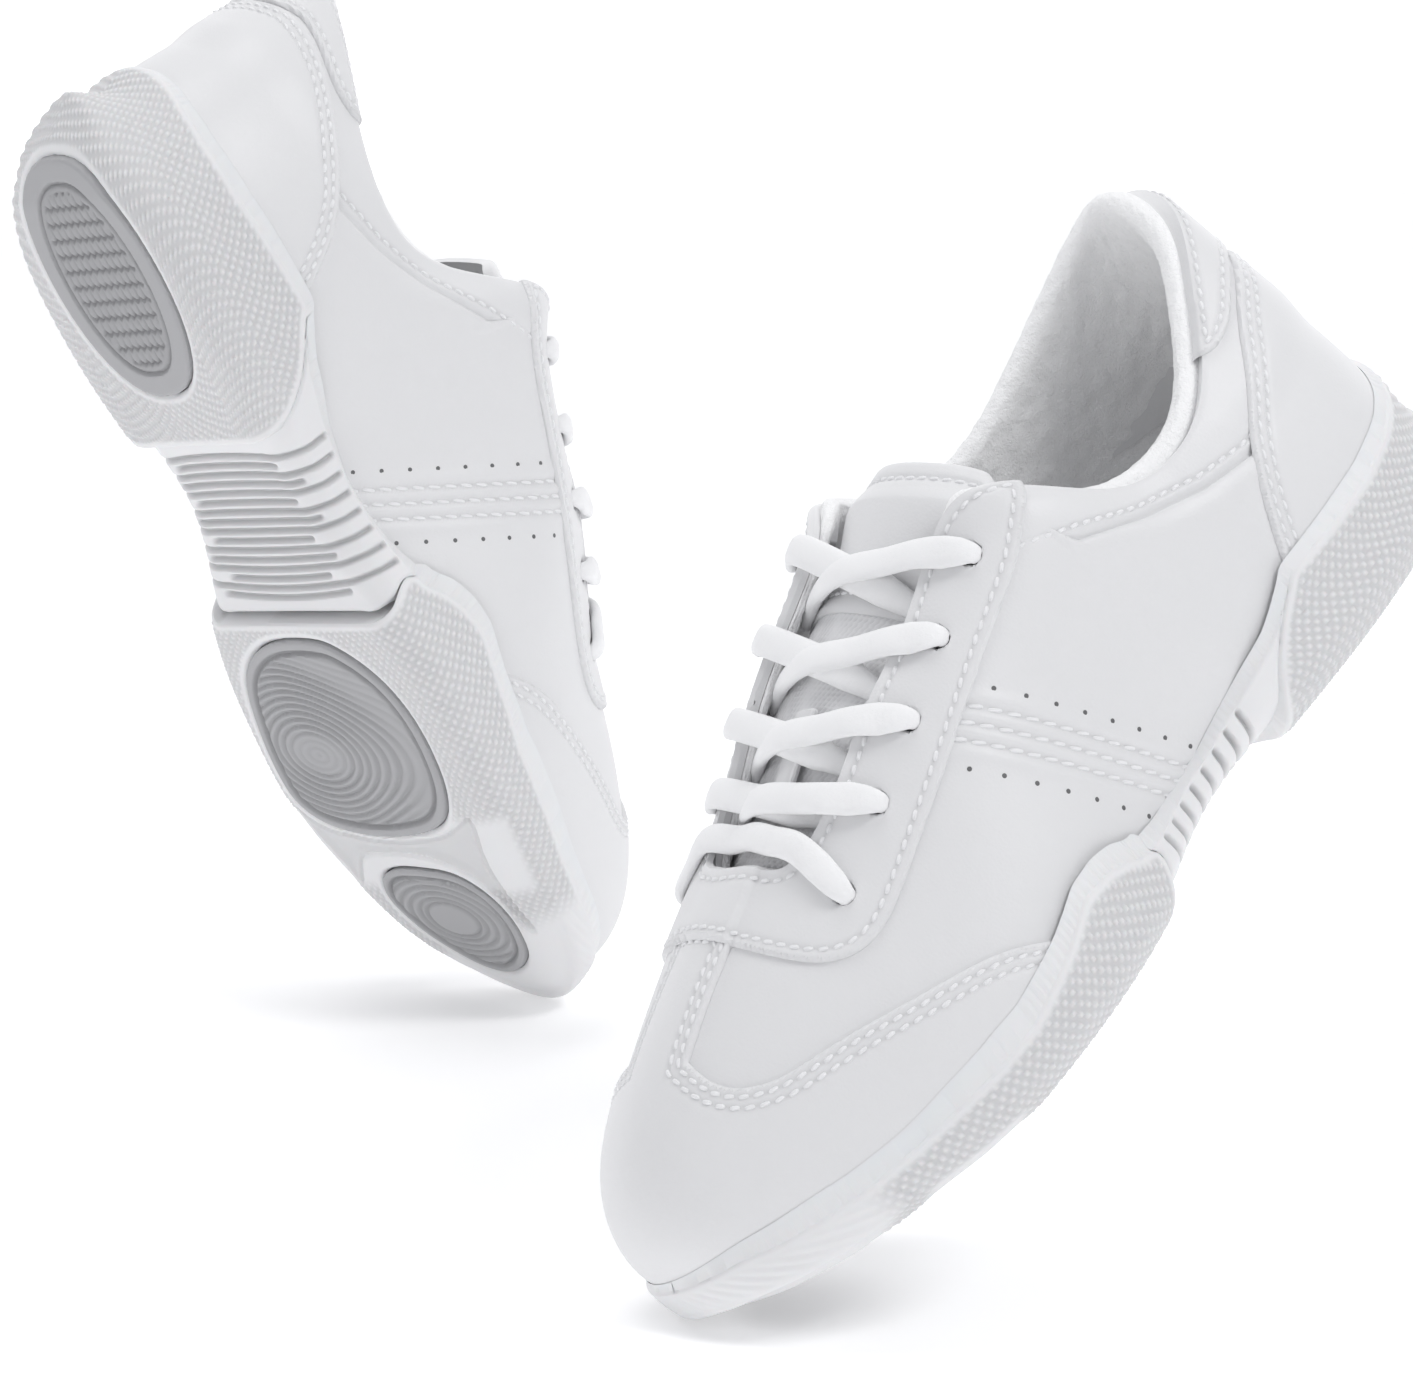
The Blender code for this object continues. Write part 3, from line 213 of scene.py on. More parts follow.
def line_at(table, x):
    """Height of a pattern line at x, rounded between its points."""
    c = np.array(table, float)
    fine = np.linspace(c[0, 0], c[-1, 0], 600)
    rough = np.interp(fine, c[:, 0], c[:, 1])
    kernel = np.hanning(13)
    pad = np.pad(rough, 6, mode="edge")
    return np.interp(x, fine, np.convolve(pad, kernel / kernel.sum(), "valid"))


def arc_length(points):
    """Distance along a line of points from its start."""
    return np.concatenate([[0], np.cumsum(np.linalg.norm(np.diff(points, axis=0), axis=1))])


def rows_at(where, run, rows):
    """Rows of a table interpolated at the given places along a run."""
    return np.stack([np.interp(where, run, rows[:, k]) for k in range(rows.shape[1])], 1)


def unit(rows):
    """Each row at length 1."""
    return rows / np.linalg.norm(rows, axis=1)[:, None]


def groove(x, width, power=2.4):
    """Flat-bottomed groove of depth 1 at 0."""
    return np.exp(-(np.abs(x) / width) ** power)


def smooth(a, b, x):
    """0 below a, 1 above b and smooth between them."""
    s = np.clip((x - a) / (b - a), 0, 1)
    return s * s * (3 - 2 * s)


def bump(x, width):
    """Smooth hump of height 1 at 0."""
    return np.exp(-(x / width) ** 2)


RING = np.array([HEEL] + OUTER_SIDE + [TOE] + INNER_SIDE[::-1] + [HEEL], float)
ROW_T = np.array([0.0, 0.27, 0.53, 0.78, 1.0])
STEP = np.linalg.norm(np.diff(RING[:, 0], axis=0), axis=1)
STEP = STEP + np.linalg.norm(np.diff(RING[:, 2], axis=0), axis=1)
KNOT = np.concatenate([[0.0], np.cumsum(np.sqrt(STEP))])
KNOT = KNOT / KNOT[-1]
TOE_U = KNOT[13]


def surface(us, ts):
    """Points of the outer face of the quarters on a grid of u and t."""
    around = spline_basis(KNOT, True, np.asarray(us, float) % 1.0)
    upward = spline_basis(ROW_T, False, ts)
    return np.einsum("uk,kjc,tj->utc", around, RING, upward)


def at_station(index, side):
    """u of a section counted from the heel, on the outer (1) or inner (-1) side."""
    low = int(index)
    part = index - low
    if side > 0:
        return KNOT[low] * (1 - part) + KNOT[low + 1] * part
    return KNOT[26 - low] * (1 - part) + KNOT[25 - low] * part


# ================================================================ grids
class Sheet:
    """Grid of points on a surface, with normals that point out of the shoe."""

    def __init__(self, points):
        self.p = points
        self.along = np.gradient(points, axis=0)
        self.up = np.gradient(points, axis=1)
        n = np.cross(self.up, self.along)
        self.n = n / np.maximum(np.linalg.norm(n, axis=2), 1e-9)[:, :, None]
        self.x = points[:, :, 0]
        self.y = points[:, :, 1]
        self.z = points[:, :, 2]

    def distance(self, field):
        """Turns a field into distances measured on the surface near its zero line."""
        fu = np.gradient(field, axis=0)
        fv = np.gradient(field, axis=1)
        e = (self.along ** 2).sum(2)
        f = (self.along * self.up).sum(2)
        g = (self.up ** 2).sum(2)
        slope = (fu * fu * g - 2 * fu * fv * f + fv * fv * e) / np.maximum(e * g - f * f, 1e-9)
        return field / np.sqrt(np.clip(slope, 0.06, 4.0))

    def from_top(self):
        """Minus the distance from the grid's last row, measured down the surface."""
        steps = np.linalg.norm(np.diff(self.p, axis=1), axis=2)
        down = np.cumsum(steps[:, ::-1], axis=1)[:, ::-1]
        return -np.concatenate([down, np.zeros((len(down), 1))], axis=1)

    def raised(self, height):
        return self.p + self.n * np.broadcast_to(height, self.x.shape)[:, :, None]


def upper_sheet(u0, u1, t0, t1, step=FINE):
    """Part of the upper with evenly spaced columns."""
    dense = np.linspace(u0, u1, 1200)
    middle = surface(dense, [(t0 + t1) / 2])[:, 0]
    run = arc_length(middle)
    count = int(run[-1] / step) + 2
    us = np.interp(np.linspace(0, run[-1], count), run, dense)
    ts = np.linspace(t0, t1, int(88 * (t1 - t0) / step) + 2)
    sheet = Sheet(surface(us, ts))
    sheet.us = us
    sheet.ts = ts
    return sheet


def corners_inside(field):
    """How many of each cell's four corners have a negative value."""
    inside = (field < 0).astype(int)
    return inside[:-1, :-1] + inside[1:, :-1] + inside[1:, 1:] + inside[:-1, 1:]


def cut_point(table, flat, p, q):
    """Number of the point where the zero line crosses the edge p q."""
    key = (min(p, q), max(p, q))
    if key not in table:
        a, b = flat[key[0]], flat[key[1]]
        table[key] = (len(table), a / (a - b))
    return table[key][0]


class Patch:
    """The part of a grid where a field is negative, cut cleanly along its zero line."""

    def __init__(self, field):
        field = np.where(np.abs(field) < 0.02, -0.02, field)
        nu, nt = field.shape
        flat = field.ravel()
        total = corners_inside(field)
        index = np.arange(nu * nt).reshape(nu, nt)
        i, j = np.nonzero(total == 4)
        quads = np.stack([index[i, j], index[i, j + 1], index[i + 1, j + 1], index[i + 1, j]], 1)
        cuts = {}
        parts = []
        for i, j in zip(*np.nonzero((total > 0) & (total < 4))):
            cell = (index[i, j], index[i, j + 1], index[i + 1, j + 1], index[i + 1, j])
            face = []
            for k in range(4):
                p, q = cell[k], cell[(k + 1) % 4]
                if flat[p] < 0:
                    face.append(int(p))
                if (flat[p] < 0) != (flat[q] < 0):
                    face.append(-1 - cut_point(cuts, flat, int(p), int(q)))
            parts.append(face)
        used = np.zeros(nu * nt, bool)
        used[quads.ravel()] = True
        for face in parts:
            used[[v for v in face if v >= 0]] = True
        number = np.cumsum(used) - 1
        kept = np.nonzero(used)[0]
        self.lo = np.concatenate([kept, [k[0] for k in cuts]]).astype(int)
        self.hi = np.concatenate([kept, [k[1] for k in cuts]]).astype(int)
        self.s = np.concatenate([np.zeros(len(kept)), [v[1] for v in cuts.values()]])
        self.faces = number[quads].tolist()
        for face in parts:
            self.faces.append([int(number[v]) if v >= 0 else len(kept) - 1 - v for v in face])

    def take(self, grid):
        """Values of a grid of numbers or points at the patch's own points."""
        flat = grid.reshape(grid.shape[0] * grid.shape[1], -1)
        s = self.s[:, None]
        return flat[self.lo] * (1 - s) + flat[self.hi] * s


def contour(field):
    """Chains of (low corner, high corner, share) along the field's zero line."""
    flat = field.ravel()
    nt = field.shape[1]
    total = corners_inside(field)
    cuts = {}
    links = {}
    for i, j in zip(*np.nonzero((total > 0) & (total < 4))):
        a = int(i) * nt + int(j)
        cell = (a, a + 1, a + nt + 1, a + nt)
        found = []
        for k in range(4):
            p, q = cell[k], cell[(k + 1) % 4]
            if (flat[p] < 0) != (flat[q] < 0):
                found.append(cut_point(cuts, flat, p, q))
        for k in range(0, len(found) - 1, 2):
            links.setdefault(found[k], []).append(found[k + 1])
            links.setdefault(found[k + 1], []).append(found[k])
    edges = [(k[0], k[1], v[1]) for k, v in cuts.items()]
    left = set(links)
    chains = []
    starts = [v for v in sorted(links) if len(links[v]) == 1] + sorted(links)
    for start in starts:
        if start not in left:
            continue
        chain = [start]
        left.discard(start)
        while True:
            ahead = [v for v in links[chain[-1]] if v in left]
            if not ahead:
                break
            chain.append(ahead[0])
            left.discard(ahead[0])
        if len(chain) > 4:
            if start in links[chain[-1]] and len(chain) > 8:
                chain.append(start)
            chains.append(np.array([edges[v] for v in chain]))
    return chains


def along_chain(chain, grid):
    flat = grid.reshape(grid.shape[0] * grid.shape[1], -1)
    lo = chain[:, 0].astype(int)
    hi = chain[:, 1].astype(int)
    s = chain[:, 2:3]
    return flat[lo] * (1 - s) + flat[hi] * s


def solid(faces, top, bottom):
    """Closed body between two faces that share the same layout."""
    n = len(top)
    directed = set()
    for face in faces:
        for k in range(len(face)):
            directed.add((face[k - 1], face[k]))
    out = list(faces)
    out += [[v + n for v in face[::-1]] for face in faces]
    for a, b in directed:
        if (b, a) not in directed:
            out.append([b, a, a + n, b + n])
    return np.vstack([top, bottom]), out


def rounded_edge(distance, radius=EDGE_ROUND):
    """0 on the cut edge, rising on a quarter circle to 1 inside it."""
    s = np.clip(1 + distance / radius, 0, 1)
    return np.sqrt(np.clip(1 - s * s, 0, 1))


def polygon_distance(outline, a, b):
    """Signed distance in a plane to a closed outline, negative inside it."""
    best = np.full(a.shape, 1e9)
    inside = np.zeros(a.shape, bool)
    for (a0, b0), (a1, b1) in zip(outline, np.roll(outline, -1, axis=0)):
        da, db = a1 - a0, b1 - b0
        t = np.clip(((a - a0) * da + (b - b0) * db) / max(da * da + db * db, 1e-9), 0, 1)
        best = np.minimum(best, (a - a0 - t * da) ** 2 + (b - b0 - t * db) ** 2)
        if b0 != b1:
            crosses = (b0 > b) != (b1 > b)
            inside ^= crosses & (a < a0 + (b - b0) / (b1 - b0) * da)
    return np.where(inside, -1.0, 1.0) * np.sqrt(best)


# ================================================================ shoes
class Shoe:
    """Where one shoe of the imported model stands."""

    def __init__(self, name, side):
        self.name = name
        self.side = side
        mounts = {m["name"]: m for m in frame["record"]["mounts"]}
        heel = mounts[name + "_heel_rest"]
        fore = mounts[name + "_forefoot_rest"]
        up = -np.array(heel["axis"])
        up = up / np.linalg.norm(up)
        run = (np.array(fore["pos_m"]) - np.array(heel["pos_m"])) * 1000
        angle = math.atan2((FORE_REST[1] - HEEL_REST[1]) * side, FORE_REST[0] - HEEL_REST[0])
        ahead = run / np.linalg.norm(run)
        across = np.cross(up, ahead)
        x_axis = ahead * math.cos(angle) - across * math.sin(angle)
        y_axis = np.cross(up, x_axis)
        self.turn = np.stack([x_axis, y_axis * side, up], 1)
        self.origin = np.array(heel["pos_m"]) * 1000 - self.turn @ HEEL_REST

    def place(self, points):
        return (np.asarray(points) @ self.turn.T + self.origin) / 1000


SHOES = [Shoe("left", 1), Shoe("right", -1)]
MAT = {}


def publish(name, points, faces, material, stands_for=(), body="shoes", bends=False,
            shade=None, sharp=35):
    """One copy of a piece on each shoe."""
    for shoe in SHOES:
        order = faces if shoe.side > 0 else [face[::-1] for face in faces]
        mesh = bpy.data.meshes.new(shoe.name + "_" + name + "_look")
        mesh.from_pydata(shoe.place(points).tolist(), [], order)
        mesh.polygons.foreach_set("use_smooth", np.ones(len(order), bool))
        if sharp:
            mesh.set_sharp_from_angle(angle=math.radians(sharp))
        if shade is not None:
            attribute = mesh.attributes.new("shade", "FLOAT", "POINT")
            attribute.data.foreach_set("value", np.asarray(shade, np.float32))
        mesh.materials.append(MAT[material])
        obj = bpy.data.objects.new(shoe.name + "_" + name + "_look", mesh)
        bpy.context.scene.collection.objects.link(obj)
        if bends:
            for reach in FLEX_BAND:
                x = FLEX_X + reach * FLEX_AHEAD[0]
                shoe.place([x, reach * FLEX_AHEAD[1], FLEX_Z])
            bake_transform(obj)
        elif body == "shoes":
            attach(obj, "shoes")
        else:
            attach(obj, shoe.name + "_" + body)
        if stands_for:
            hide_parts(*[shoe.name + "_" + node for node in stands_for])


def stitch_row(points, normals, pitch=STITCH_PITCH, keep=None, length=STITCH_LENGTH,
               radius=THREAD_R):
    """Stitches along a line: points and faces of slim arched threads."""
    run = arc_length(points)
    count = int(run[-1] / pitch)
    if count < 1:
        return np.zeros((0, 3)), []
    middle = (np.arange(count) + 0.5) * run[-1] / count
    at = rows_at(middle, run, points)
    n = unit(rows_at(middle, run, normals))
    t = rows_at(middle + 0.8, run, points) - rows_at(middle - 0.8, run, points)
    t = unit(t - n * (t * n).sum(1)[:, None])
    b = np.cross(n, t)
    slant = math.radians(9)
    t, b = t * math.cos(slant) + b * math.sin(slant), b * math.cos(slant) - t * math.sin(slant)
    if keep is not None:
        good = np.interp(middle, run, keep) > 0.5
        at, n, t, b = at[good], n[good], t[good], b[good]
    shape = []
    for s in (-1.0, -0.8, -0.35, 0.35, 0.8, 1.0):
        r = radius * (1 - s ** 4) ** 0.5 + 0.02
        lift = 0.30 * (1 - s * s) - 0.12
        for k in range(6):
            w = 2 * math.pi * k / 6
            shape.append((s * length / 2, 1.15 * r * math.cos(w), r * math.sin(w) + lift))
    shape = np.array(shape)
    pts = (at[:, None] + t[:, None] * shape[None, :, :1] + b[:, None] * shape[None, :, 1:2]
           + n[:, None] * shape[None, :, 2:])
    one = [list(range(6))[::-1], list(range(30, 36))]
    for r in range(5):
        for k in range(6):
            q = (k + 1) % 6
            one.append([r * 6 + k, r * 6 + q, r * 6 + 6 + q, r * 6 + 6 + k])
    faces = [[v + 36 * i for v in face] for i in range(len(at)) for face in one]
    return pts.reshape(-1, 3), faces


def join(parts):
    """Several (points, faces) as one."""
    points = []
    faces = []
    start = 0
    for p, f in parts:
        if len(p) == 0:
            continue
        points.append(np.asarray(p))
        faces += [[v + start for v in face] for face in f]
        start += len(p)
    return np.vstack(points), faces


def on_zero_line(sheet, height, field, keep=None):
    """Points, normals and values of keep along a field's zero line, on a raised grid."""
    top = sheet.raised(height)
    for chain in contour(field):
        keep_here = None if keep is None else along_chain(chain, keep)[:, 0]
        yield along_chain(chain, top), along_chain(chain, sheet.n), keep_here


def stitch_lines(sheet, height, fields, keep=None):
    """Stitches along the zero line of each field, on a raised grid."""
    parts = []
    for field in fields:
        for points, normals, keep_here in on_zero_line(sheet, height, field, keep):
            parts.append(stitch_row(points, normals, keep=keep_here))
    return join(parts)


def layer(sheet, field, height, under, painted_shade_and_tint=None):
    """Closed body over the part of the sheet where the field is negative."""
    patch = Patch(field)
    top = patch.take(sheet.raised(height))
    bottom = patch.take(sheet.raised(under))
    points, faces = solid(patch.faces, top, bottom)
    if painted_shade_and_tint is None:
        return points, faces
    return points, faces, np.concatenate([patch.take(painted_shade_and_tint)[:, 0], np.zeros(len(top))])


# ================================================================ materials
def material(name, colour, roughness, bumps, sheen=0.0, soft=0.0):
    """Procedural material; bumps are (texture, scale, height in mm)."""
    mat = bpy.data.materials.new(name)
    mat.use_nodes = True
    tree = mat.node_tree
    link = tree.links.new
    bsdf = tree.nodes["Principled BSDF"]
    bsdf.inputs["Roughness"].default_value = roughness
    bsdf.inputs["Sheen Weight"].default_value = sheen
    bsdf.inputs["Subsurface Weight"].default_value = soft
    bsdf.inputs["Subsurface Scale"].default_value = 0.002
    where = tree.nodes.new("ShaderNodeTexCoord")
    mottle = tree.nodes.new("ShaderNodeTexNoise")
    mottle.inputs["Scale"].default_value = 60
    link(where.outputs["Object"], mottle.inputs["Vector"])
    tint = tree.nodes.new("ShaderNodeMix")
    tint.data_type = "RGBA"
    tint.inputs["A"].default_value = (*[c * 0.985 for c in colour], 1)
    tint.inputs["B"].default_value = (*colour, 1)
    link(mottle.outputs["Fac"], tint.inputs["Factor"])
    # the shade attribute mixes the colour towards near black: painted shade in grooves, stitch
    # lines, holes and between the sole's pips, and on some tread faces the rubber's own darker
    # grey
    shade = tree.nodes.new("ShaderNodeAttribute")
    shade.attribute_name = "shade"
    dark = tree.nodes.new("ShaderNodeMix")
    dark.data_type = "RGBA"
    dark.inputs["B"].default_value = (0.02, 0.02, 0.022, 1)
    link(shade.outputs["Fac"], dark.inputs["Factor"])
    link(tint.outputs["Result"], dark.inputs["A"])
    link(dark.outputs["Result"], bsdf.inputs["Base Color"])
    last = None
    for texture, scale, height in bumps:
        tex = tree.nodes.new(texture)
        tex.inputs["Scale"].default_value = scale
        link(where.outputs["Object"], tex.inputs["Vector"])
        bump_node = tree.nodes.new("ShaderNodeBump")
        bump_node.inputs["Strength"].default_value = 1.0
        bump_node.inputs["Distance"].default_value = height / 1000
        link(tex.outputs[0], bump_node.inputs["Height"])
        if last is not None:
            link(last.outputs["Normal"], bump_node.inputs["Normal"])
        last = bump_node
    link(last.outputs["Normal"], bsdf.inputs["Normal"])
    MAT[name] = mat


NOISE = "ShaderNodeTexNoise"
CELLS = "ShaderNodeTexVoronoi"
material("leather", (0.765, 0.765, 0.772), 0.46, [(CELLS, 1500, 0.035), (NOISE, 260, 0.06)])
material("padded", (0.77, 0.77, 0.777), 0.48, [(CELLS, 1500, 0.035), (NOISE, 160, 0.10)])
material("rubber", (0.80, 0.80, 0.807), 0.55, [(NOISE, 1400, 0.03)], soft=0.05)
material("tread", (0.41, 0.41, 0.42), 0.60, [(NOISE, 1600, 0.03)])
material("fleece", (0.96, 0.96, 0.963), 0.95, [(NOISE, 900, 0.35), (NOISE, 2600, 0.20)], 0.4)
material("knit", (0.86, 0.86, 0.87), 0.85, [(NOISE, 2500, 0.10)], 0.2)
material("braid", (0.91, 0.91, 0.915), 0.80, [(NOISE, 2200, 0.10)], 0.25)
material("thread", (0.84, 0.84, 0.85), 0.65, [(NOISE, 3000, 0.05)])
material("board", (0.74, 0.72, 0.66), 0.85, [(NOISE, 900, 0.05)])


# ================================================================ fields on the upper
def two_lines(sheet, outer, inner):
    """One field from the outer side's and one from the inner side's."""
    w = smooth(-8, 6, sheet.y)
    return outer * w + inner * (1 - w)


def below_line(sheet, table_out, table_in):
    """Distance from a pattern line, negative under it."""
    fields = [sheet.z - line_at(table, sheet.x) for table in (table_out, table_in)]
    return sheet.distance(two_lines(sheet, fields[0], fields[1]))


def shape_field(sheet, outline_out, outline_in=None):
    """Distance to a side-view outline, negative inside it."""
    out = polygon_distance(np.array(outline_out, float), sheet.x, sheet.z)
    if outline_in is None:
        return sheet.distance(out)
    inner = polygon_distance(np.array(outline_in, float), sheet.x, sheet.z)
    return sheet.distance(two_lines(sheet, out, inner))


def with_corners(edge, corners):
    return np.vstack([curve(edge, 8), np.array(corners, float)])


def stay_field(sheet):
    corners = [(205, 150), (94, 150)]
    return shape_field(sheet, with_corners(STAY_OUT, corners), with_corners(STAY_IN, corners))


def collar_rise(sheet):
    """Height above the collar seam, and distance below the rim."""
    return below_line(sheet, COLLAR_OUT, COLLAR_IN), -sheet.from_top()


def padded(sheet):
    """How far the padded collar carries every layer outward; the rim rolls in."""
    above, below_rim = collar_rise(sheet)
    here = 1 - smooth(*COLLAR_FADE, sheet.x)
    swell = 1.5 * smooth(1, 13, above)
    r = 3.2
    s = np.clip(r - below_rim, 0, r)
    roll = -r + np.sqrt(r * r - s * s)
    return here * (swell + roll)


def cap_field(sheet):
    edge = with_corners([(160, -10), (165, 8), (168.5, 17), (169.5, 24), (169, 60)],
                        [(169, 150), (320, 150), (320, -40)])
    cap = shape_field(sheet, edge)
    corners = [(206, 90), (150, 90), (150, 15)]
    window = polygon_distance(with_corners(WINDOW_EDGE, corners), sheet.x, sheet.z)
    inner = polygon_distance(with_corners([(x, z + 3) for x, z in WINDOW_EDGE],
                                          [(206, 93), (150, 93), (150, 18)]), sheet.x, sheet.z)
    first = np.maximum(sheet.distance(window), sheet.distance(8.5 - sheet.y))
    second = np.maximum(sheet.distance(inner), sheet.distance(sheet.y + 15.0))
    for window_field in (first, second):
        cap = np.maximum(cap, -window_field)
    return cap


def point_on(u, t):
    """Point of the upper and its unit normal."""
    e = 0.002
    p = surface([u - e, u, u + e], [max(t - 0.01, 0), t, min(t + 0.01, 1)])
    n = np.cross(p[1, 2] - p[1, 0], p[2, 1] - p[0, 1])
    return p[1, 1], n / np.linalg.norm(n)


def eyelet(k, side):
    station, t = EYELETS[k]
    return point_on(at_station(FIRST_EYELET + station, side), t)


def hole_field(sheet, radius):
    """Negative inside the punched eyelets."""
    best = np.full(sheet.x.shape, 1e9)
    for k in range(5):
        for side in (1, -1):
            place = eyelet(k, side)[0]
            best = np.minimum(best, np.linalg.norm(sheet.p - place, axis=2))
    return best - radius


# ================================================================ leather of the upper
def quarter(name, u0, u1, lift, stands_for):
    sheet = upper_sheet(u0, u1, 0.03, 1.0)
    line = below_line(sheet, COLLAR_OUT, COLLAR_IN)
    near = 1 - smooth(*COLLAR_FADE, sheet.x)
    edge = line * near + (sheet.z - 200) * (1 - near)
    height = -0.9 * (1 - rounded_edge(edge, 1.0))
    height = height + 0.4 * bump(edge + 3.0, 3.0) * near
    keep = (sheet.z > line_at(RIM_LINE, sheet.x) - 1).astype(float)
    keep = keep * (stay_field(sheet) > 0.3)
    along = []
    for share in (0, 0.5, 1):
        a = np.array([141 + 7 * share, 65 - 3 * share + lift])
        b = np.array([112 + 9.5 * share, 13 + 2 * share + lift])
        way = (b - a) / np.linalg.norm(b - a)
        field = (sheet.x - a[0]) * way[1] - (sheet.z - a[1]) * way[0]
        along.append(sheet.distance(field))
    sign = np.sign(along[2] - along[0]).mean()
    on = (sheet.z > 10)
    # painted shade along the stripes' stitch lines, darkest in their sunk grooves
    painted_shade_and_tint = np.zeros(height.shape)
    for field in along:
        height = height - 0.42 * bump(field, 0.8) * on
        height = height + 0.35 * bump(np.abs(field) - 2.4, 1.5) * on
        painted_shade_and_tint = painted_shade_and_tint + 0.12 * bump(field, 0.6) * on
    marks = []
    for field in along:
        marks += [side_stitches(*line) for line in on_zero_line(sheet, height, field, keep)]
    dots = []
    for field, count in ((along[0] - 4.6 * sign, 8), (along[2] + 6.0 * sign, 7)):
        dots += [dot_row(*line, count) for line in on_zero_line(sheet, height, field, keep)]
    cut = np.maximum(edge, 14 - sheet.z)
    cut = np.maximum(cut, -hole_field(sheet, EYELET_R))
    points, faces, painted_shade_and_tint = layer(sheet, cut, height, -BASE, painted_shade_and_tint)
    publish("quarter_" + name, points, faces, "leather", stands_for,
            bends=True, shade=painted_shade_and_tint)
    points, faces = join(marks)
    publish("side_stitches_" + name, points, faces, "thread")
    # the perforations are dark discs: painted shade where the holes are punched
    points, faces = join(dots)
    publish("perforations_" + name, points, faces, "leather",
            shade=np.full(len(points), 0.85))


def side_stitches(points, normals, keep):
    """Long thick stitches of the side stripes."""
    return stitch_row(points, normals, STRIPE_PITCH, keep, STRIPE_STITCH, STRIPE_THREAD_R)


def dot_row(points, normals, keep, count):
    """Small dark discs of painted shade for the punched perforations, evenly spaced on the kept
    run.
    """
    run = arc_length(points)
    inside = run[keep > 0.5]
    if len(inside) < 8:
        return np.zeros((0, 3)), []
    parts = []
    for k in range(count):
        at = inside[0] + (inside[-1] - inside[0]) * (k + 0.6) / (count + 0.2)
        p = rows_at([at], run, points)[0]
        n = rows_at([at], run, normals)[0]
        parts.append(disc(p, n, 0.55, -0.3, 0.05))
    return join(parts)


def disc(place, normal, radius, low, high, sides=14):
    """Short closed cylinder along a normal."""
    a = np.cross(normal, [1.0, 0.2, 0.1])
    a = a / np.linalg.norm(a)
    b = np.cross(normal, a)
    pts = []
    for reach in (low, high):
        for k in range(sides):
            w = 2 * math.pi * k / sides
            pts.append(place + normal * reach + radius * (a * math.cos(w) + b * math.sin(w)))
    faces = [list(range(sides))[::-1], list(range(sides, 2 * sides))]
    for k in range(sides):
        q = (k + 1) % sides
        faces.append([k, q, sides + q, sides + k])
    return np.array(pts), faces


def overlay(name, sheet, field, rows, stands_for, base=None, bends=False, rim=False,
            extra=None):
    """A leather overlay with rounded edges and rows of stitching near its edge."""
    edge = field
    if rim:
        edge = np.maximum(field, sheet.from_top())
    height = OVERLAY * rounded_edge(edge)
    under = 0.02
    if base is not None:
        height = height + base
        under = base + 0.02
    lines = [edge + r for r in rows]
    if extra is not None:
        lines.append(extra)
    # painted shade along the stitch lines, darkest in their sunk grooves
    painted_shade_and_tint = np.zeros(height.shape)
    for line in lines:
        height = height - 0.38 * bump(line, 0.75)
        painted_shade_and_tint = painted_shade_and_tint + 0.13 * bump(line, 0.55)
    cut = np.maximum(field, 13.5 - sheet.z)
    points, faces, painted_shade_and_tint = layer(sheet, cut, height, under, painted_shade_and_tint)
    publish(name, points, faces, "leather", stands_for, bends=bends,
            shade=painted_shade_and_tint)
    keep = ((cut < -0.6) & (sheet.from_top() < -1.0)).astype(float)
    keep = keep * (sheet.z > line_at(RIM_LINE, sheet.x) - 2)
    points, faces = stitch_lines(sheet, height, lines, keep)
    publish(name + "_stitches", points, faces, "thread", bends=bends)


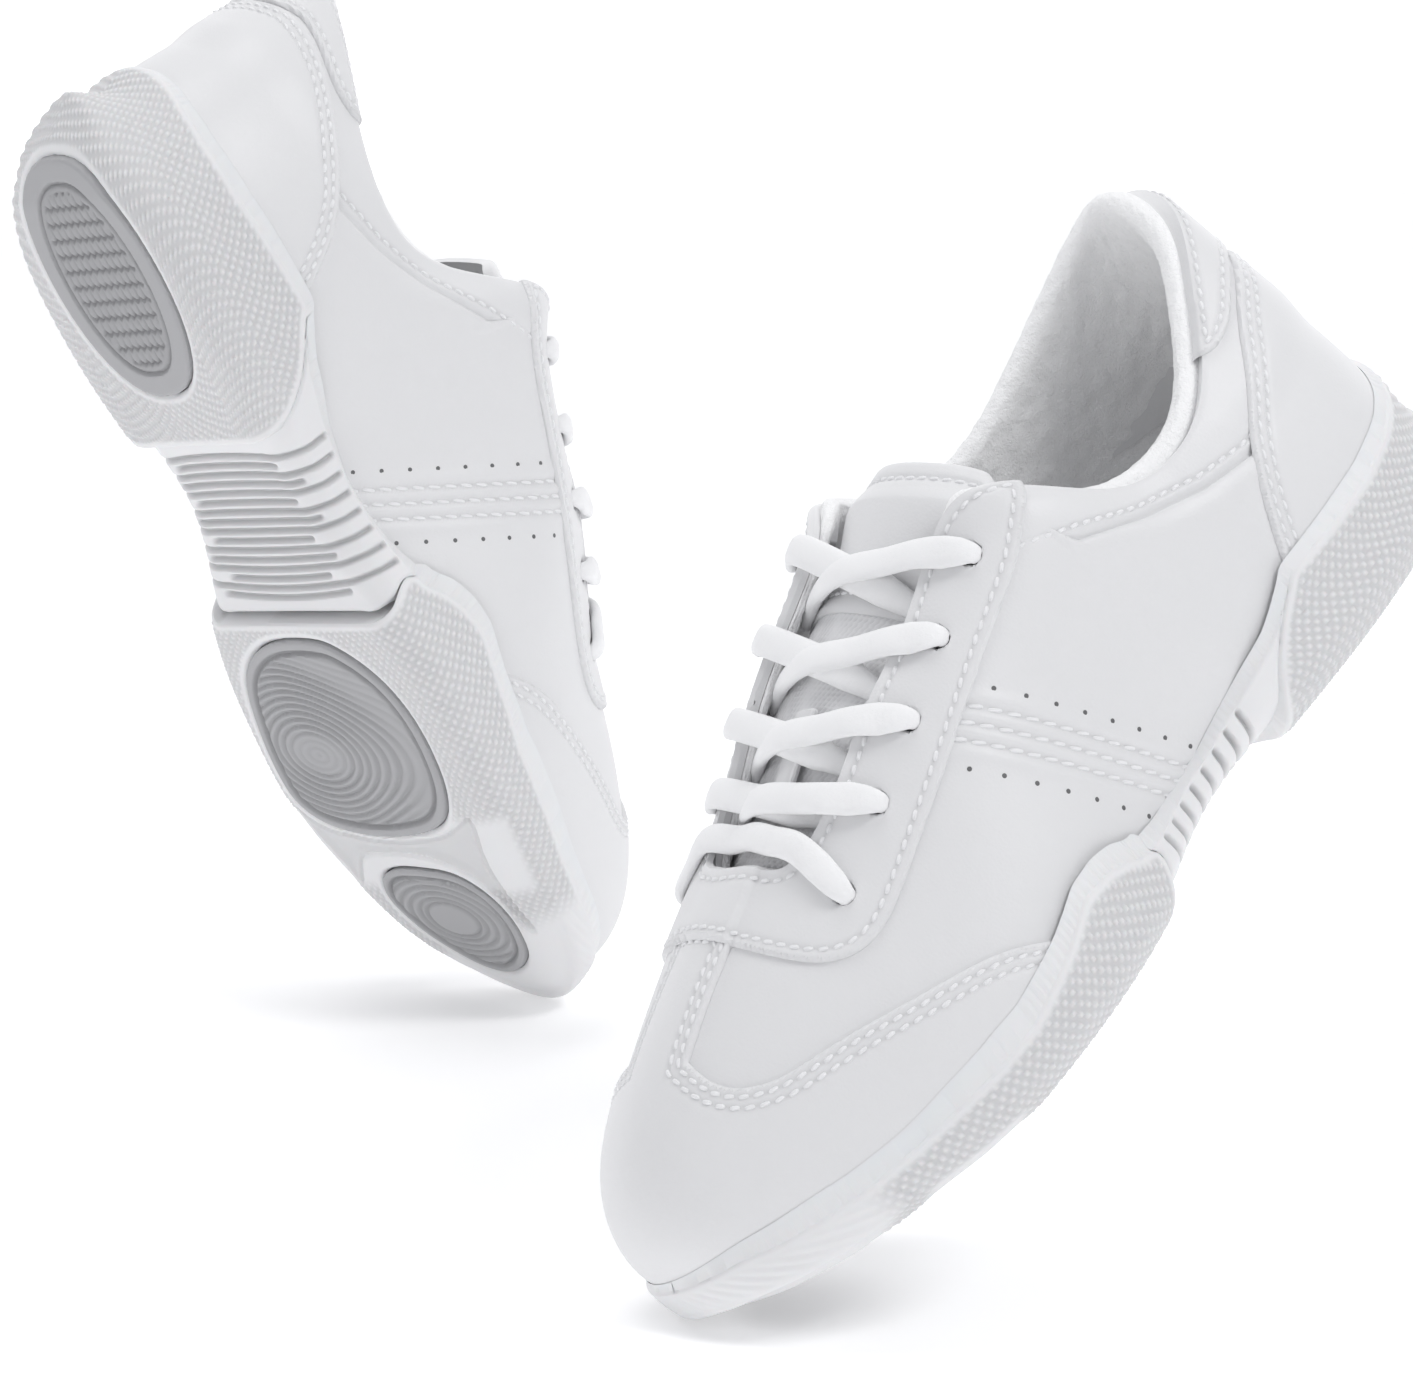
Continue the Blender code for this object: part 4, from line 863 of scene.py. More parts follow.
def uppers():
    quarter("lateral", 0.0, TOE_U, 0, ("quarter_lateral", "vamp_crease"))
    quarter("medial", TOE_U, 1.0, 3, ("quarter_medial",))

    heel = upper_sheet(-0.36, 0.36, 0.03, 1.0)
    swell = padded(heel)
    above, below_rim = collar_rise(heel)
    height = swell - (1 - smooth(0.2, 2.4, above))
    height = height - 0.35 * bump(above - 3.2, 0.8)
    cut = np.maximum(-above - 2.5, heel.distance(heel.x - 112))
    cut = np.maximum(cut, 1.6 - below_rim)
    # painted shade along the collar's sunk stitch groove
    points, faces, painted_shade_and_tint = layer(heel, cut, height, -5.6, 0.16 * bump(above - 3.2, 0.6))
    publish("collar", points, faces, "padded", ("collar",),
            shade=painted_shade_and_tint)
    keep = (heel.x < 108).astype(float)
    points, faces = stitch_lines(heel, height, [above - 3.2], keep)
    publish("collar_stitches", points, faces, "thread")

    outline = np.vstack([[(-30, -10), (-30, 72.3)], curve(FOXING_EDGE, 8), [(72, -10)]])
    overlay("heel_foxing", heel, shape_field(heel, outline), (2.2, 4.4), ("heel_foxing",),
            base=swell)
    outline = np.vstack([[(-30, 73.2), (12, 73.2)], curve([(13.5, 73), (20, 70), (27, 66.8),
                        (33, 65.6), (39, 66.8), (42, 72), (44, 84), (46, 130)], 6),
                        [(-30, 130)]])
    overlay("heel_tab", heel, shape_field(heel, outline), (2.2,), ("heel_tab",), base=swell,
            rim=True)

    stay = upper_sheet(0.16, 0.84, 0.03, 1.0)
    field = np.maximum(stay_field(stay), -hole_field(stay, EYELET_R))
    base = padded(stay) * (1 - smooth(96, 112, stay.x))
    base = base + 1.2 * smooth(-0.5, 2.0, -cap_field(stay)) * smooth(180, 190, stay.x)
    lines = stay_field(stay) + 2.6
    overlay("eyestay", stay, field, (), ("eyestay",), base=base, bends=True, rim=True,
            extra=np.maximum(lines, stay.from_top() + 3.4))

    toe = upper_sheet(0.28, 0.72, 0.03, 1.0)
    cap = np.maximum(cap_field(toe), -stay_field(toe) - 4)
    overlay("toe_cap", toe, cap, (2.0, 4.3), ("toe_cap",), bends=True)
    inside = (toe.x - FLEX_X) * FLEX_AHEAD[0] + toe.y * FLEX_AHEAD[1]
    cut = np.maximum(4 - inside, toe.from_top() + 2)
    points, faces = layer(toe, np.maximum(cut, 12 - toe.z), -1.55, -2.3)
    publish("toe_puff", points, faces, "board", ("toe_puff",), bends=True)
    cut = np.maximum(heel.x - 60, heel.z - 50)
    points, faces = layer(heel, np.maximum(cut, 12 - heel.z), -1.7, -2.6)
    publish("heel_counter", points, faces, "board", ("heel_counter",))

    # dark discs in the eyelets: painted shade inside the punched holes
    hole_shade_discs = []
    for k in range(5):
        for side in (1, -1):
            place, n = eyelet(k, side)
            hole_shade_discs.append(disc(place, n, EYELET_R + 0.4, -0.6, 0.25, 20))
    points, faces = join(hole_shade_discs)
    publish("eyelet_hole_shade", points, faces, "leather", bends=True,
            shade=np.full(len(points), 0.9))


# ================================================================ fleece lining
def rough(shape, seed, passes):
    """Smoothed random numbers of unit size."""
    values = np.random.default_rng(seed).standard_normal(shape)
    for _ in range(passes):
        values = values + np.roll(values, 1, 0) + np.roll(values, -1, 0)
        values = values + np.roll(values, 1, 1) + np.roll(values, -1, 1)
    return values / values.std()


def lining():
    sheet = upper_sheet(-TOE_U, 1 - TOE_U, 0.0, 1.0, 0.9)
    t = sheet.ts[None, :]
    at_rim = 1 - smooth(92, 118, sheet.x)
    collar = smooth(0.5, 0.8, t) * at_rim
    stiff = (1 - smooth(0.5, 0.8, t)) * (1 - smooth(60, 90, sheet.x)) * 1.5
    toe = smooth(200, 215, sheet.x) * 0.9
    outer = -(BASE + 0.3 + collar * 4.2 + stiff + toe)
    inner = outer - 1.6
    fuzz = rough(sheet.x.shape, 3, 2) * 0.16
    p, n, up = sheet.p, sheet.n, sheet.up
    rim_up = up[:, -1] / np.linalg.norm(up[:, -1], axis=1)[:, None]
    face = p + n * (inner + fuzz)[:, :, None]
    back = p + n * outer[:, :, None]
    rim_in = inner[:, -1]
    rim_out = -1.5 + 0.3 * at_rim[:, -1]
    radius = (rim_out - rim_in) / 2
    rolls = []
    for scale, shift in ((1.0, 1.0), (0.45, 0.0)):
        rows = []
        for k in range(1, 15):
            w = math.pi * k / 15
            r = radius * scale
            h = (rim_in + rim_out) / 2 - r * math.cos(w)
            bulge = r * math.sin(w) * 1.15 + shift * 0.1
            jitter = shift * np.roll(fuzz[:, -1], k * 7) * 0.8
            rows.append(p[:, -1] + n[:, -1] * h[:, None] + rim_up * (bulge + jitter)[:, None])
        rolls.append(np.stack(rows, 1))
    down = []
    down_back = []
    for k in range(1, 4):
        low = (rim_out - 0.9 * k * at_rim[:, -1] / 3)[:, None]
        down.append(p[:, -1 - k] + n[:, -1 - k] * low)
        down_back.append(p[:, -1 - k] + n[:, -1 - k] * (low - 0.7))
    down = np.stack(down, 1)
    down_back = np.stack(down_back, 1)
    face = np.concatenate([face, rolls[0], down], 1)
    back = np.concatenate([back, rolls[1], down_back], 1)
    patch = Patch(np.full(face.shape[:2], -1.0))
    faces = [f[::-1] for f in patch.faces]
    faces, keep = weld(patch.take(face), faces)
    points, faces = solid(faces, patch.take(face)[keep], patch.take(back)[keep])
    publish("lining", points, faces, "fleece", ("lining",), bends=True, sharp=0)


def weld(points, faces):
    """Joins points that coincide; returns new faces and which points to keep."""
    key = np.round(points, 3)
    _, first, back = np.unique(key, axis=0, return_index=True, return_inverse=True)
    back = np.asarray(back).ravel()
    out = []
    for face in faces:
        ring = []
        for v in face:
            w = int(back[v])
            if w not in ring:
                ring.append(w)
        if len(ring) > 2:
            out.append(ring)
    return out, first


# ================================================================ sole
def oval(x0, x1, half, skew, power=0.85):
    out = []
    for k in range(40):
        w = 2 * math.pi * k / 40
        y = half * abs(math.sin(w)) ** power * (1 if math.sin(w) >= 0 else -1)
        out.append(((x0 + x1) / 2 - (x1 - x0) / 2 * math.cos(w), skew + y))
    return np.array(out)


HEEL_PAD = oval(9, 76, 25, 0.5)
FOREFOOT_PAD = curve([(147.5, 8), (150, 16), (158, 27), (170, 33), (183, 33), (194, 29),
                      (202, 20), (205.5, 8), (207, -5), (206.5, -20), (203, -34),
                      (196, -41), (183, -42), (170, -39), (158, -33), (150, -21),
                      (147.2, -8)], 5, True)
TOE_PAD = curve([(218, -3), (220, 10), (228, 18.5), (238, 19), (247, 13.5), (253, 4),
                 (254.5, -3), (252.5, -11), (246, -20), (237, -27), (228, -29.5),
                 (220.5, -24), (217.8, -12)], 6, True)
CRESCENT = curve([(200, 34), (210, 30), (219, 27), (229, 27), (238, 26), (230, 22),
                  (221, 18), (216, 10), (213, -3), (213, -17), (216, -30), (224, -38),
                  (215, -40), (206, -43), (198, -45), (204, -38), (207, -24), (208, -5),
                  (207, 12), (203, 25)], 4, True)
HEEL_END = [(93, -25), (90.5, 0), (84.5, 11.5), (75, 19.5), (66, 25.8), (60, 45)]
ARCH_END = [(150.4, 60), (142.4, 20), (136.2, 12), (142.5, 0), (146, -25)]
OUTLINE = curve(OUTER_EDGE + INNER_EDGE[::-1][1:-1], 8, True)


def outline_hit(p):
    """Where the ray through p from the middle of the sole meets its outline."""
    centre = np.stack([np.clip(p[:, 0], 40, 215), np.zeros(len(p))], 1)
    way = p[:, :2] - centre
    way = way / np.linalg.norm(way, axis=1)[:, None]
    a = OUTLINE[None, :, :]
    d = np.roll(OUTLINE, -1, axis=0)[None] - a
    rel = a - centre[:, None, :]
    det = way[:, None, 1] * d[:, :, 0] - way[:, None, 0] * d[:, :, 1]
    det = np.where(np.abs(det) < 1e-9, 1e-9, det)
    s = (rel[:, :, 1] * d[:, :, 0] - rel[:, :, 0] * d[:, :, 1]) / det
    q = (way[:, None, 0] * rel[:, :, 1] - way[:, None, 1] * rel[:, :, 0]) / det
    s = np.where((q >= -1e-6) & (q <= 1 + 1e-6) & (s > 0), s, 1e9)
    reach = s.min(axis=1)
    return centre + way * reach[:, None], way


WALL_T = [0.46, 0.36, 0.26, 0.16]


def clearance(x):
    heel = 1 - smooth(80, 96, x)
    toe = smooth(125, 147, x)
    return 0.15 + 1.35 * np.maximum(heel, toe)


def wall(us, ground, count):
    """Outer and inner faces of the sidewall, from above the rim to the flat underside."""
    us = us % 1.0
    skin = Sheet(surface(us, WALL_T + [0.0]))
    e = 0.003
    around = surface(us + e, WALL_T + [0.0]) - surface(us - e, WALL_T + [0.0])
    upward = np.gradient(surface(us, np.linspace(0, 0.5, 26)), axis=1)[:, [23, 18, 13, 8, 0]]
    n = np.cross(upward, around)
    n = n / np.linalg.norm(n, axis=2)[:, :, None]
    n[:, 4, 2] = 0
    n[:, 4] /= np.linalg.norm(n[:, 4], axis=1)[:, None]
    clear = clearance(skin.x)
    outer = skin.p + n * (clear + 1.7)[:, :, None]
    hit, way = outline_hit(skin.p[:, 4])
    rings = [outer[:, k] for k in range(4)]
    for grow, height in ((0, lambda x: line_at(ground, x) * 0.6 + 9),
                         (-2.6, lambda x: line_at(ground, x) + 2.9),
                         (-8.5, lambda x: line_at(ground, x) + 0.1),
                         (-14, lambda x: line_at(ground, x))):
        xy = hit + way * grow
        rings.append(np.column_stack([xy, height(xy[:, 0])]))
    rings = np.stack(rings, 1)
    knots = np.array([0, 8, 16, 24, 32, 39.5, 47, 53], float)
    fine = spline_basis(knots, False, np.linspace(0, 53, 200))
    dense = np.einsum("rk,ukc->urc", fine, rings)
    steps = np.linalg.norm(np.diff(dense, axis=1), axis=2)
    run = np.concatenate([np.zeros((len(us), 1)), np.cumsum(steps, axis=1)], 1)
    out = np.empty((len(us), count, 3))
    for i in range(len(us)):
        out[i] = rows_at(np.linspace(0, run[i, -1], count), run[i], dense[i])
    inside = skin.p + n * clear[:, :, None]
    down = np.linspace(0, 1, count)
    inner = np.empty_like(out)
    edge = inside[:, 4] + np.array([0, 0, -0.4])
    column = np.concatenate([inside[:, :4], edge[:, None]], 1)
    for i in range(len(us)):
        inner[i] = rows_at(down, [0, 0.17, 0.34, 0.5, 0.72], column[i])
    return out, inner


def sole_sheet(first, last, ground, step=SOLE_FINE):
    """Grid across the sole: inner rim, sidewall, underside, sidewall, outer rim."""
    count = int((last - first) * 27 / step * 0.95)
    stations = np.linspace(first, last, count)
    outer_u = np.array([at_station(min(s, LAST_STATION), 1) for s in stations])
    inner_u = np.array([at_station(min(s, LAST_STATION), -1) for s in stations])
    rows = int(56 / step)
    a_out, a_in = wall(inner_u, ground, rows)
    b_out, b_in = wall(outer_u, ground, rows)
    across = np.linspace(0, 1, int(74 / step))[1:-1, None]
    mid = a_out[:, -1:] * (1 - across) + b_out[:, -1:] * across
    mid[:, :, 2] = line_at(ground, mid[:, :, 0].ravel()).reshape(mid.shape[:2])
    face = np.concatenate([a_out, mid, b_out[:, ::-1]], 1)
    floor = a_in[:, -1:] * (1 - across) + b_in[:, -1:] * across
    back = np.concatenate([a_in, floor, b_in[:, ::-1]], 1)
    sheet = Sheet(face)
    sheet.back = back
    sheet.run = np.concatenate([np.zeros((1, face.shape[1])), np.cumsum(
        np.linalg.norm(np.diff(face, axis=0), axis=2), axis=0)], 0)
    down = np.concatenate([np.zeros((count, 1)), np.cumsum(
        np.linalg.norm(np.diff(face, axis=1), axis=2), axis=1)], 1)
    sheet.down = down - down[:, face.shape[1] // 2][:, None]
    return sheet


def pips(sheet):
    """1 on top of a pip and 0 between pips, in a diamond pattern."""
    a = np.cos(2 * math.pi * sheet.run / PIP_PITCH)
    b = np.cos(2 * math.pi * sheet.down / PIP_PITCH)
    return np.clip(a * b, 0, 1) ** 0.7


def pocket(sheet, outline):
    """Distance to a tread's outline in plan, only on the underside."""
    d = polygon_distance(outline, sheet.x, sheet.y)
    return np.where(sheet.z > 12, 20.0, d)


def sole_piece(name, sheet, cut, height, stands_for, bends, shade=None):
    patch = Patch(cut)
    height = height - 0.9 * (1 - rounded_edge(cut, 1.0))
    top = patch.take(sheet.raised(height))
    bottom = patch.take(sheet.back)
    painted_shade_and_tint = None if shade is None else patch.take(shade)[:, 0]
    faces, keep = weld(top, patch.faces)
    points, faces = solid(faces, top[keep], bottom[keep])
    if painted_shade_and_tint is not None:
        painted_shade_and_tint = np.concatenate([painted_shade_and_tint[keep], np.zeros(len(keep))])
    publish(name, points, faces, "rubber", stands_for, bends=bends,
            shade=painted_shade_and_tint)


def side_of(sheet, line, ahead):
    """Distance to a unit's boundary in side view; negative on the wanted side."""
    far = 400 if ahead else -100
    edge = curve(line, 8)
    outline = np.vstack([edge, [(far, edge[-1, 1]), (far, edge[0, 1])]])
    return sheet.distance(polygon_distance(outline, sheet.x, sheet.z))


def under_rim(sheet):
    return sheet.distance(sheet.z - line_at(RIM_LINE, sheet.x))


def clear_of_edges(rim, outside, pads):
    """1 on the moulded faces, fading to 0 at the rim, the unit's ends and the pads."""
    return smooth(1.2, 2.6, -rim) * smooth(1.2, 2.4, -outside) * smooth(1.6, 2.6, pads)


def soles():
    rear = sole_sheet(0.0, 5.9, GROUND)
    rim = under_rim(rear)
    outside = side_of(rear, HEEL_END, False)
    hole = pocket(rear, HEEL_PAD)
    cut = np.maximum(np.maximum(rim, outside), -hole)
    calm = clear_of_edges(rim, outside, hole)
    dots = pips(rear)
    height = 0.5 * dots * calm - 0.5 * bump(hole - 0.2, 0.6)
    # painted shade between the pips
    sole_piece("sole_heel", rear, cut, height, ("sole_heel",), False,
               PIP_SHADE * (1 - dots) * calm)

    waist = sole_sheet(2.6, 9.0, ARCH_GROUND)
    rim = under_rim(waist)
    cut = np.maximum(rim, side_of(waist, HEEL_END, True) + 0.25)
    cut = np.maximum(cut, side_of(waist, ARCH_END, False) + 0.25)
    height = np.zeros(waist.x.shape)
    for k in range(16):
        at = 95.5 + 2.75 * k
        bow = 0.0016 * (waist.y ** 2) * (1 if k < 7 else -1) * abs(k - 7) / 7
        lean = (waist.z - 8) * (0.10 - 0.012 * k)
        line = waist.x - at - bow + lean
        reach = 60 if k % 2 == 0 else 21 + 3 * (k % 4)
        mask = 1 - smooth(reach - 2.5, reach, np.abs(waist.down))
        if k % 2 == 0:
            mask = smooth(0.6, 1.8, -rim)
        height = height - 1.5 * groove(line, 0.72, 2.6) * mask
    # painted shade in the arch's grooves, by their depth
    sole_piece("sole_arch", waist, cut, height, ("sole_arch",), False, -height * GROOVE_SHADE)

    front = sole_sheet(6.9, 13.0, GROUND)
    rim = under_rim(front)
    outside = side_of(front, ARCH_END, True)
    pads = np.minimum(pocket(front, FOREFOOT_PAD), pocket(front, TOE_PAD))
    cut = np.maximum(np.maximum(rim, outside), -pads)
    calm = clear_of_edges(rim, outside, pads)
    tip = smooth(238, 246, front.x + 0.25 * front.y)
    between = smooth(198, 203, front.x) * (1 - smooth(222, 227, front.x))
    raised = front.z - line_at(GROUND, front.x)
    plain_band = between * (1 - smooth(2.0, 4.0, raised))
    ribs = 0.5 + 0.5 * np.cos(2 * math.pi * front.down / 2.4)
    field = calm * (1 - tip) * (1 - plain_band)
    dots = pips(front)
    height = 0.5 * dots * field
    height = height + 0.22 * ribs * tip * calm * smooth(3, 6, raised)
    height = height - 0.5 * bump(pads - 0.2, 0.6)
    crescents = polygon_distance(CRESCENT, front.x, front.y)
    band = np.where(raised < 4, np.maximum(crescents, 1.6 - pads), 20.0)
    height = height - 0.8 * groove(band, 0.6, 2.5) - smooth(0, 4.0, -band)
    # painted shade between the pips; the crescent bands are the rubber's own darker grey
    painted_shade_and_tint = PIP_SHADE * (1 - dots) * field + 0.17 * smooth(-0.3, 0.3, -band)
    sole_piece("sole_front", front, cut, height, ("sole_forefoot", "sole_toe"), True, painted_shade_and_tint)

    tread("heel_tread", HEEL_PAD, heel_pattern, ("heel_tread",), False)
    tread("forefoot_tread", FOREFOOT_PAD, fore_pattern, ("forefoot_tread",), True)
    tread("toe_tread", TOE_PAD, toe_pattern, ("toe_tread",), True)


def tread(name, outline, pattern, stands_for, bends, step=0.42):
    """Tread pad: a plan grid that follows the ground, with a moulded pattern."""
    low = outline.min(axis=0) - 0.5
    high = outline.max(axis=0) + 0.5
    xs = np.arange(low[0], high[0], step)
    ys = np.arange(low[1], high[1], step)
    x, y = np.meshgrid(xs, ys, indexing="ij")
    z = line_at(GROUND, x.ravel()).reshape(x.shape)
    sheet = Sheet(np.stack([x, y, z - 0.6], 2))
    d = polygon_distance(outline, x, y) + 0.25
    # the pattern also gives how much darker each point is drawn: painted shade in its grooves,
    # and at the heel the inner pad's own darker grey
    depth, shade = pattern(x, y, d)
    height = -depth - 0.8 * (1 - rounded_edge(d, 0.9))
    patch = Patch(d)
    top = patch.take(sheet.raised(height))
    bottom = patch.take(np.stack([x, y, z + 2.4], 2))
    points, faces = solid(patch.faces, top, bottom)
    painted_shade_and_tint = np.concatenate([patch.take(shade)[:, 0], np.zeros(len(top))])
    publish(name, points, faces, "tread", stands_for, bends=bends,
            shade=painted_shade_and_tint)


def heel_pattern(x, y, d):
    inner = d + 6.6
    depth = groove(inner, 0.55)
    pad = smooth(0.4, 0.9, -inner)
    rows = (x - 42.5) / 4.4
    phase = np.abs((y / 2.9) % 1.0 - 0.5) * 2
    line = np.abs(((rows + 0.24 * phase) % 1.0) - 0.5) * 4.4
    depth = depth + pad * (0.25 + 0.75 * groove(line, 0.5) * smooth(1.5, 2.5, -inner))
    fine = np.abs(((y / 2.9 + 0.5) % 1.0) - 0.5) * 2.9
    depth = depth + pad * 0.3 * np.exp(-(fine / 0.28) ** 2) * smooth(1.5, 2.5, -inner)
    # the inner pad is a slightly darker rubber; its grooves get painted shade by their depth
    return depth, 0.05 * pad + 0.30 * np.clip(depth, 0, 1)


def ridges(r, pitch, depth):
    return depth * (0.5 - 0.5 * np.cos(2 * math.pi * r / pitch)) ** 1.5


def fore_pattern(x, y, d):
    inner = d + 3.4
    depth = 1.3 * groove(inner, 0.7)
    pad = smooth(0.6, 1.4, -inner)
    r = np.sqrt((x - 181) ** 2 + ((y + 17) * 0.50) ** 2)
    wave = r + 1.2 * np.sin(y / 9.0 + 0.6)
    far = smooth(4, 8, r) * (1 - smooth(24, 32, r + 0.25 * (y + 10)))
    depth = depth + pad * (ridges(wave, 2.1, 0.75) * far)
    calm = pad * (1 - far)
    depth = depth + calm * ridges(wave, 2.1, 0.25)
    # painted shade in the grooves, by their depth
    return depth, GROOVE_SHADE * np.clip(depth, 0, 1)


def toe_pattern(x, y, d):
    inner = d + 2.6
    depth = 1.1 * groove(inner, 0.6)
    pad = smooth(0.6, 1.2, -inner)
    r = np.sqrt((x - 235) ** 2 + ((y + 6) * 0.55) ** 2)
    far = smooth(5.5, 6.5, r)
    depth = depth + pad * far * ridges(r, 2.1, 0.7)
    depth = depth + pad * 0.7 * np.exp(-((r - 5.8) / 0.5) ** 2)
    # painted shade in the grooves, by their depth
    return depth, GROOVE_SHADE * np.clip(depth, 0, 1)


def insole():
    stations = np.linspace(0.0, 13.0, 330)
    sides = []
    for side in (-1, 1):
        us = np.array([at_station(min(s, LAST_STATION), side) for s in stations]) % 1.0
        e = 0.003
        here = surface(us, [0.0, 0.04])
        n = np.cross(here[:, 1] - here[:, 0], surface(us + e, [0.0])[:, 0]
                     - surface(us - e, [0.0])[:, 0])
        n[:, 2] = 0
        n = n / np.linalg.norm(n, axis=1)[:, None]
        stiff = (1 - smooth(60, 90, here[:, 0, 0])) * 1.5
        sides.append(here[:, 0] - n * (4.6 + stiff)[:, None])
    across = np.linspace(0, 1, 90)[None, :, None]
    flat = sides[0][:, None] * (1 - across) + sides[1][:, None] * across
    side = np.linspace(-1, 1, 90)[None, :]
    dish = 1.6 * np.abs(side) ** 5 + rough(flat.shape[:2], 5, 2) * 0.03
    top = flat + np.stack([np.zeros_like(dish), np.zeros_like(dish), dish + 2.6], 2)
    bottom = flat + np.array([0, 0, 0.1])
    patch = Patch(np.full(top.shape[:2], -1.0))
    faces = [f[::-1] for f in patch.faces]
    up = patch.take(top)
    faces, keep = weld(up, faces)
    points, faces = solid(faces, up[keep], patch.take(bottom)[keep])
    publish("insole", points, faces, "fleece", ("insole", "insole_toe"),
            bends=True)


# ================================================================ tongue
TONGUE_ROWS = [11.2, 10.5, 9.8, 9.0, 8.2, 7.4, 6.9]
TONGUE_EXTRA = [0, 0, 0, 0, 0.5, 3.0, 4.0]


def tongue_rows():
    """Sections of the tongue's top face from its front edge to its top end."""
    rows = []
    for station, extra in zip(TONGUE_ROWS, TONGUE_EXTRA):
        row = []
        for side, ts in ((1, (0.8, 0.97)), (-1, (0.97, 0.8))):
            u = at_station(station, side)
            for t in ts:
                p, n = point_on(u, t)
                row.append(p - n * (5.2 + extra))
        top = surface([at_station(station, 1), at_station(station, -1)], [1.0])[:, 0].mean(0)
        row.insert(2, top - np.array([0, 0, 1.4]))
        rows.append(np.array(row))
    last = rows[-1]
    step = (last[2] - rows[-3][2]) / np.linalg.norm(last[2] - rows[-3][2])
    for reach, narrow, rise in ((7, 0.95, 0.4), (13, 0.9, 0.2), (19, 0.84, -1.0)):
        mid = last[2] + step * reach + np.array([0, 0, rise])
        rows.append(mid + (last - last[2]) * np.array([0.6, narrow, 0.75]))
    return np.array(rows)


def tongue_sheet(rows, first, last, step):
    """Smooth grid through sections first..last; the top end comes first."""
    across = np.linspace(0, 4, int(58 / step))
    spans = np.linspace(last, first, int(abs(last - first) * 12.5 / step))
    knots = np.arange(len(rows), dtype=float)
    a = spline_basis(knots, False, spans)
    b = spline_basis(np.arange(5.0), False, across)
    return Sheet(np.einsum("uk,kjc,tj->utc", a, rows, b))


def border(sheet):
    """Distance from the grid's long edges and from its first row, in mm."""
    step = np.linalg.norm(np.diff(sheet.p, axis=1), axis=2)
    run = np.concatenate([np.zeros((len(step), 1)), np.cumsum(step, axis=1)], 1)
    across = run - run[:, -1:] / 2
    half = np.broadcast_to(run[:, -1:] / 2, run.shape)
    step = np.linalg.norm(np.diff(sheet.p, axis=0), axis=2)
    along = np.concatenate([np.zeros((1, step.shape[1])), np.cumsum(step, axis=0)], 0)
    return across, half, along


def tongue():
    rows = tongue_rows()
    front = rows[0] + (rows[0] - rows[1]) * 0.4 - np.array([0, 0, 3.0])
    mesh = tongue_sheet(np.concatenate([front[None], rows]), 0.0, 6.0, 0.5)
    across, half, along = border(mesh)
    cell_a = np.cos(2 * math.pi * along / 2.6)
    cell_b = np.cos(2 * math.pi * across / 1.7)
    knit = 0.38 * np.clip(-cell_a * cell_b, -0.2, 1)
    points, faces = layer(mesh, np.abs(across) - half + 0.4, -0.1 - knit, -2.2)
    patch = Patch(np.abs(across) - half + 0.4)
    # painted shade in the knit's holes, where the surface is sunk
    painted_shade_and_tint = np.concatenate([patch.take(np.clip(knit, 0, 1) * 0.5)[:, 0], np.zeros(len(patch.s))])
    publish("tongue_mesh", points, faces, "knit", ("tongue_mesh",), "tongue",
            shade=painted_shade_and_tint)

    top = tongue_sheet(rows, 4.4, 9.0, 0.6)
    across, half, along = border(top)
    r = 10.0
    length = along[-1, :][None, :]
    corner = np.hypot(np.maximum(np.abs(across) - (half - r), 0), np.maximum(r - along, 0)) - r
    edge = np.maximum(corner, np.abs(across) - half + 0.3)
    edge = np.maximum(edge, 0.6 - along)
    edge = np.maximum(edge, along - length + 0.5)
    inner = edge + 4.6
    height = 1.1 * rounded_edge(edge, 1.6) + 1.6 * smooth(0.4, 6.5, -inner)
    height = height - 0.5 * bump(inner, 0.9)
    points, faces = layer(top, edge, height, -2.2)
    publish("tongue_top", points, faces, "padded", ("tongue_top",), "tongue")
    points, faces = stitch_lines(top, height, [inner])
    publish("tongue_stitches", points, faces, "thread", (), "tongue")

    keep = rows[1:4, 2]
    lift = np.array([0.35, 0, 0.94])
    path = [keep[0] * 0.35 + keep[1] * 0.65, keep[1], (keep[1] + keep[2]) / 2, keep[2]]
    path = curve(np.array(path) + lift * 1.3, 12)
    ahead = unit(np.gradient(path, axis=0))
    side = unit(np.cross(ahead, lift))
    up = np.cross(side, ahead)
    ws = np.linspace(-4.6, 4.6, 24)
    grid = path[:, None] + side[:, None] * ws[None, :, None]
    grid = grid + up[:, None] * (0.5 * (1 - (ws / 4.6) ** 2))[None, :, None]
    strap = Sheet(grid)
    if strap.n[len(path) // 2, 12] @ lift < 0:
        strap = Sheet(grid[:, ::-1])
    across, half, along = border(strap)
    edge = np.maximum(np.abs(across) - half + 0.05, np.maximum(0.3 - along,
                      along - along[-1:, :] + 0.3))
    height = 0.5 * rounded_edge(edge, 0.6) - 0.25 * bump(edge + 1.5, 0.5)
    points, faces = layer(strap, edge, height, -0.7)
    publish("tongue_loop", points, faces, "padded", ("tongue_loop",), "tongue")


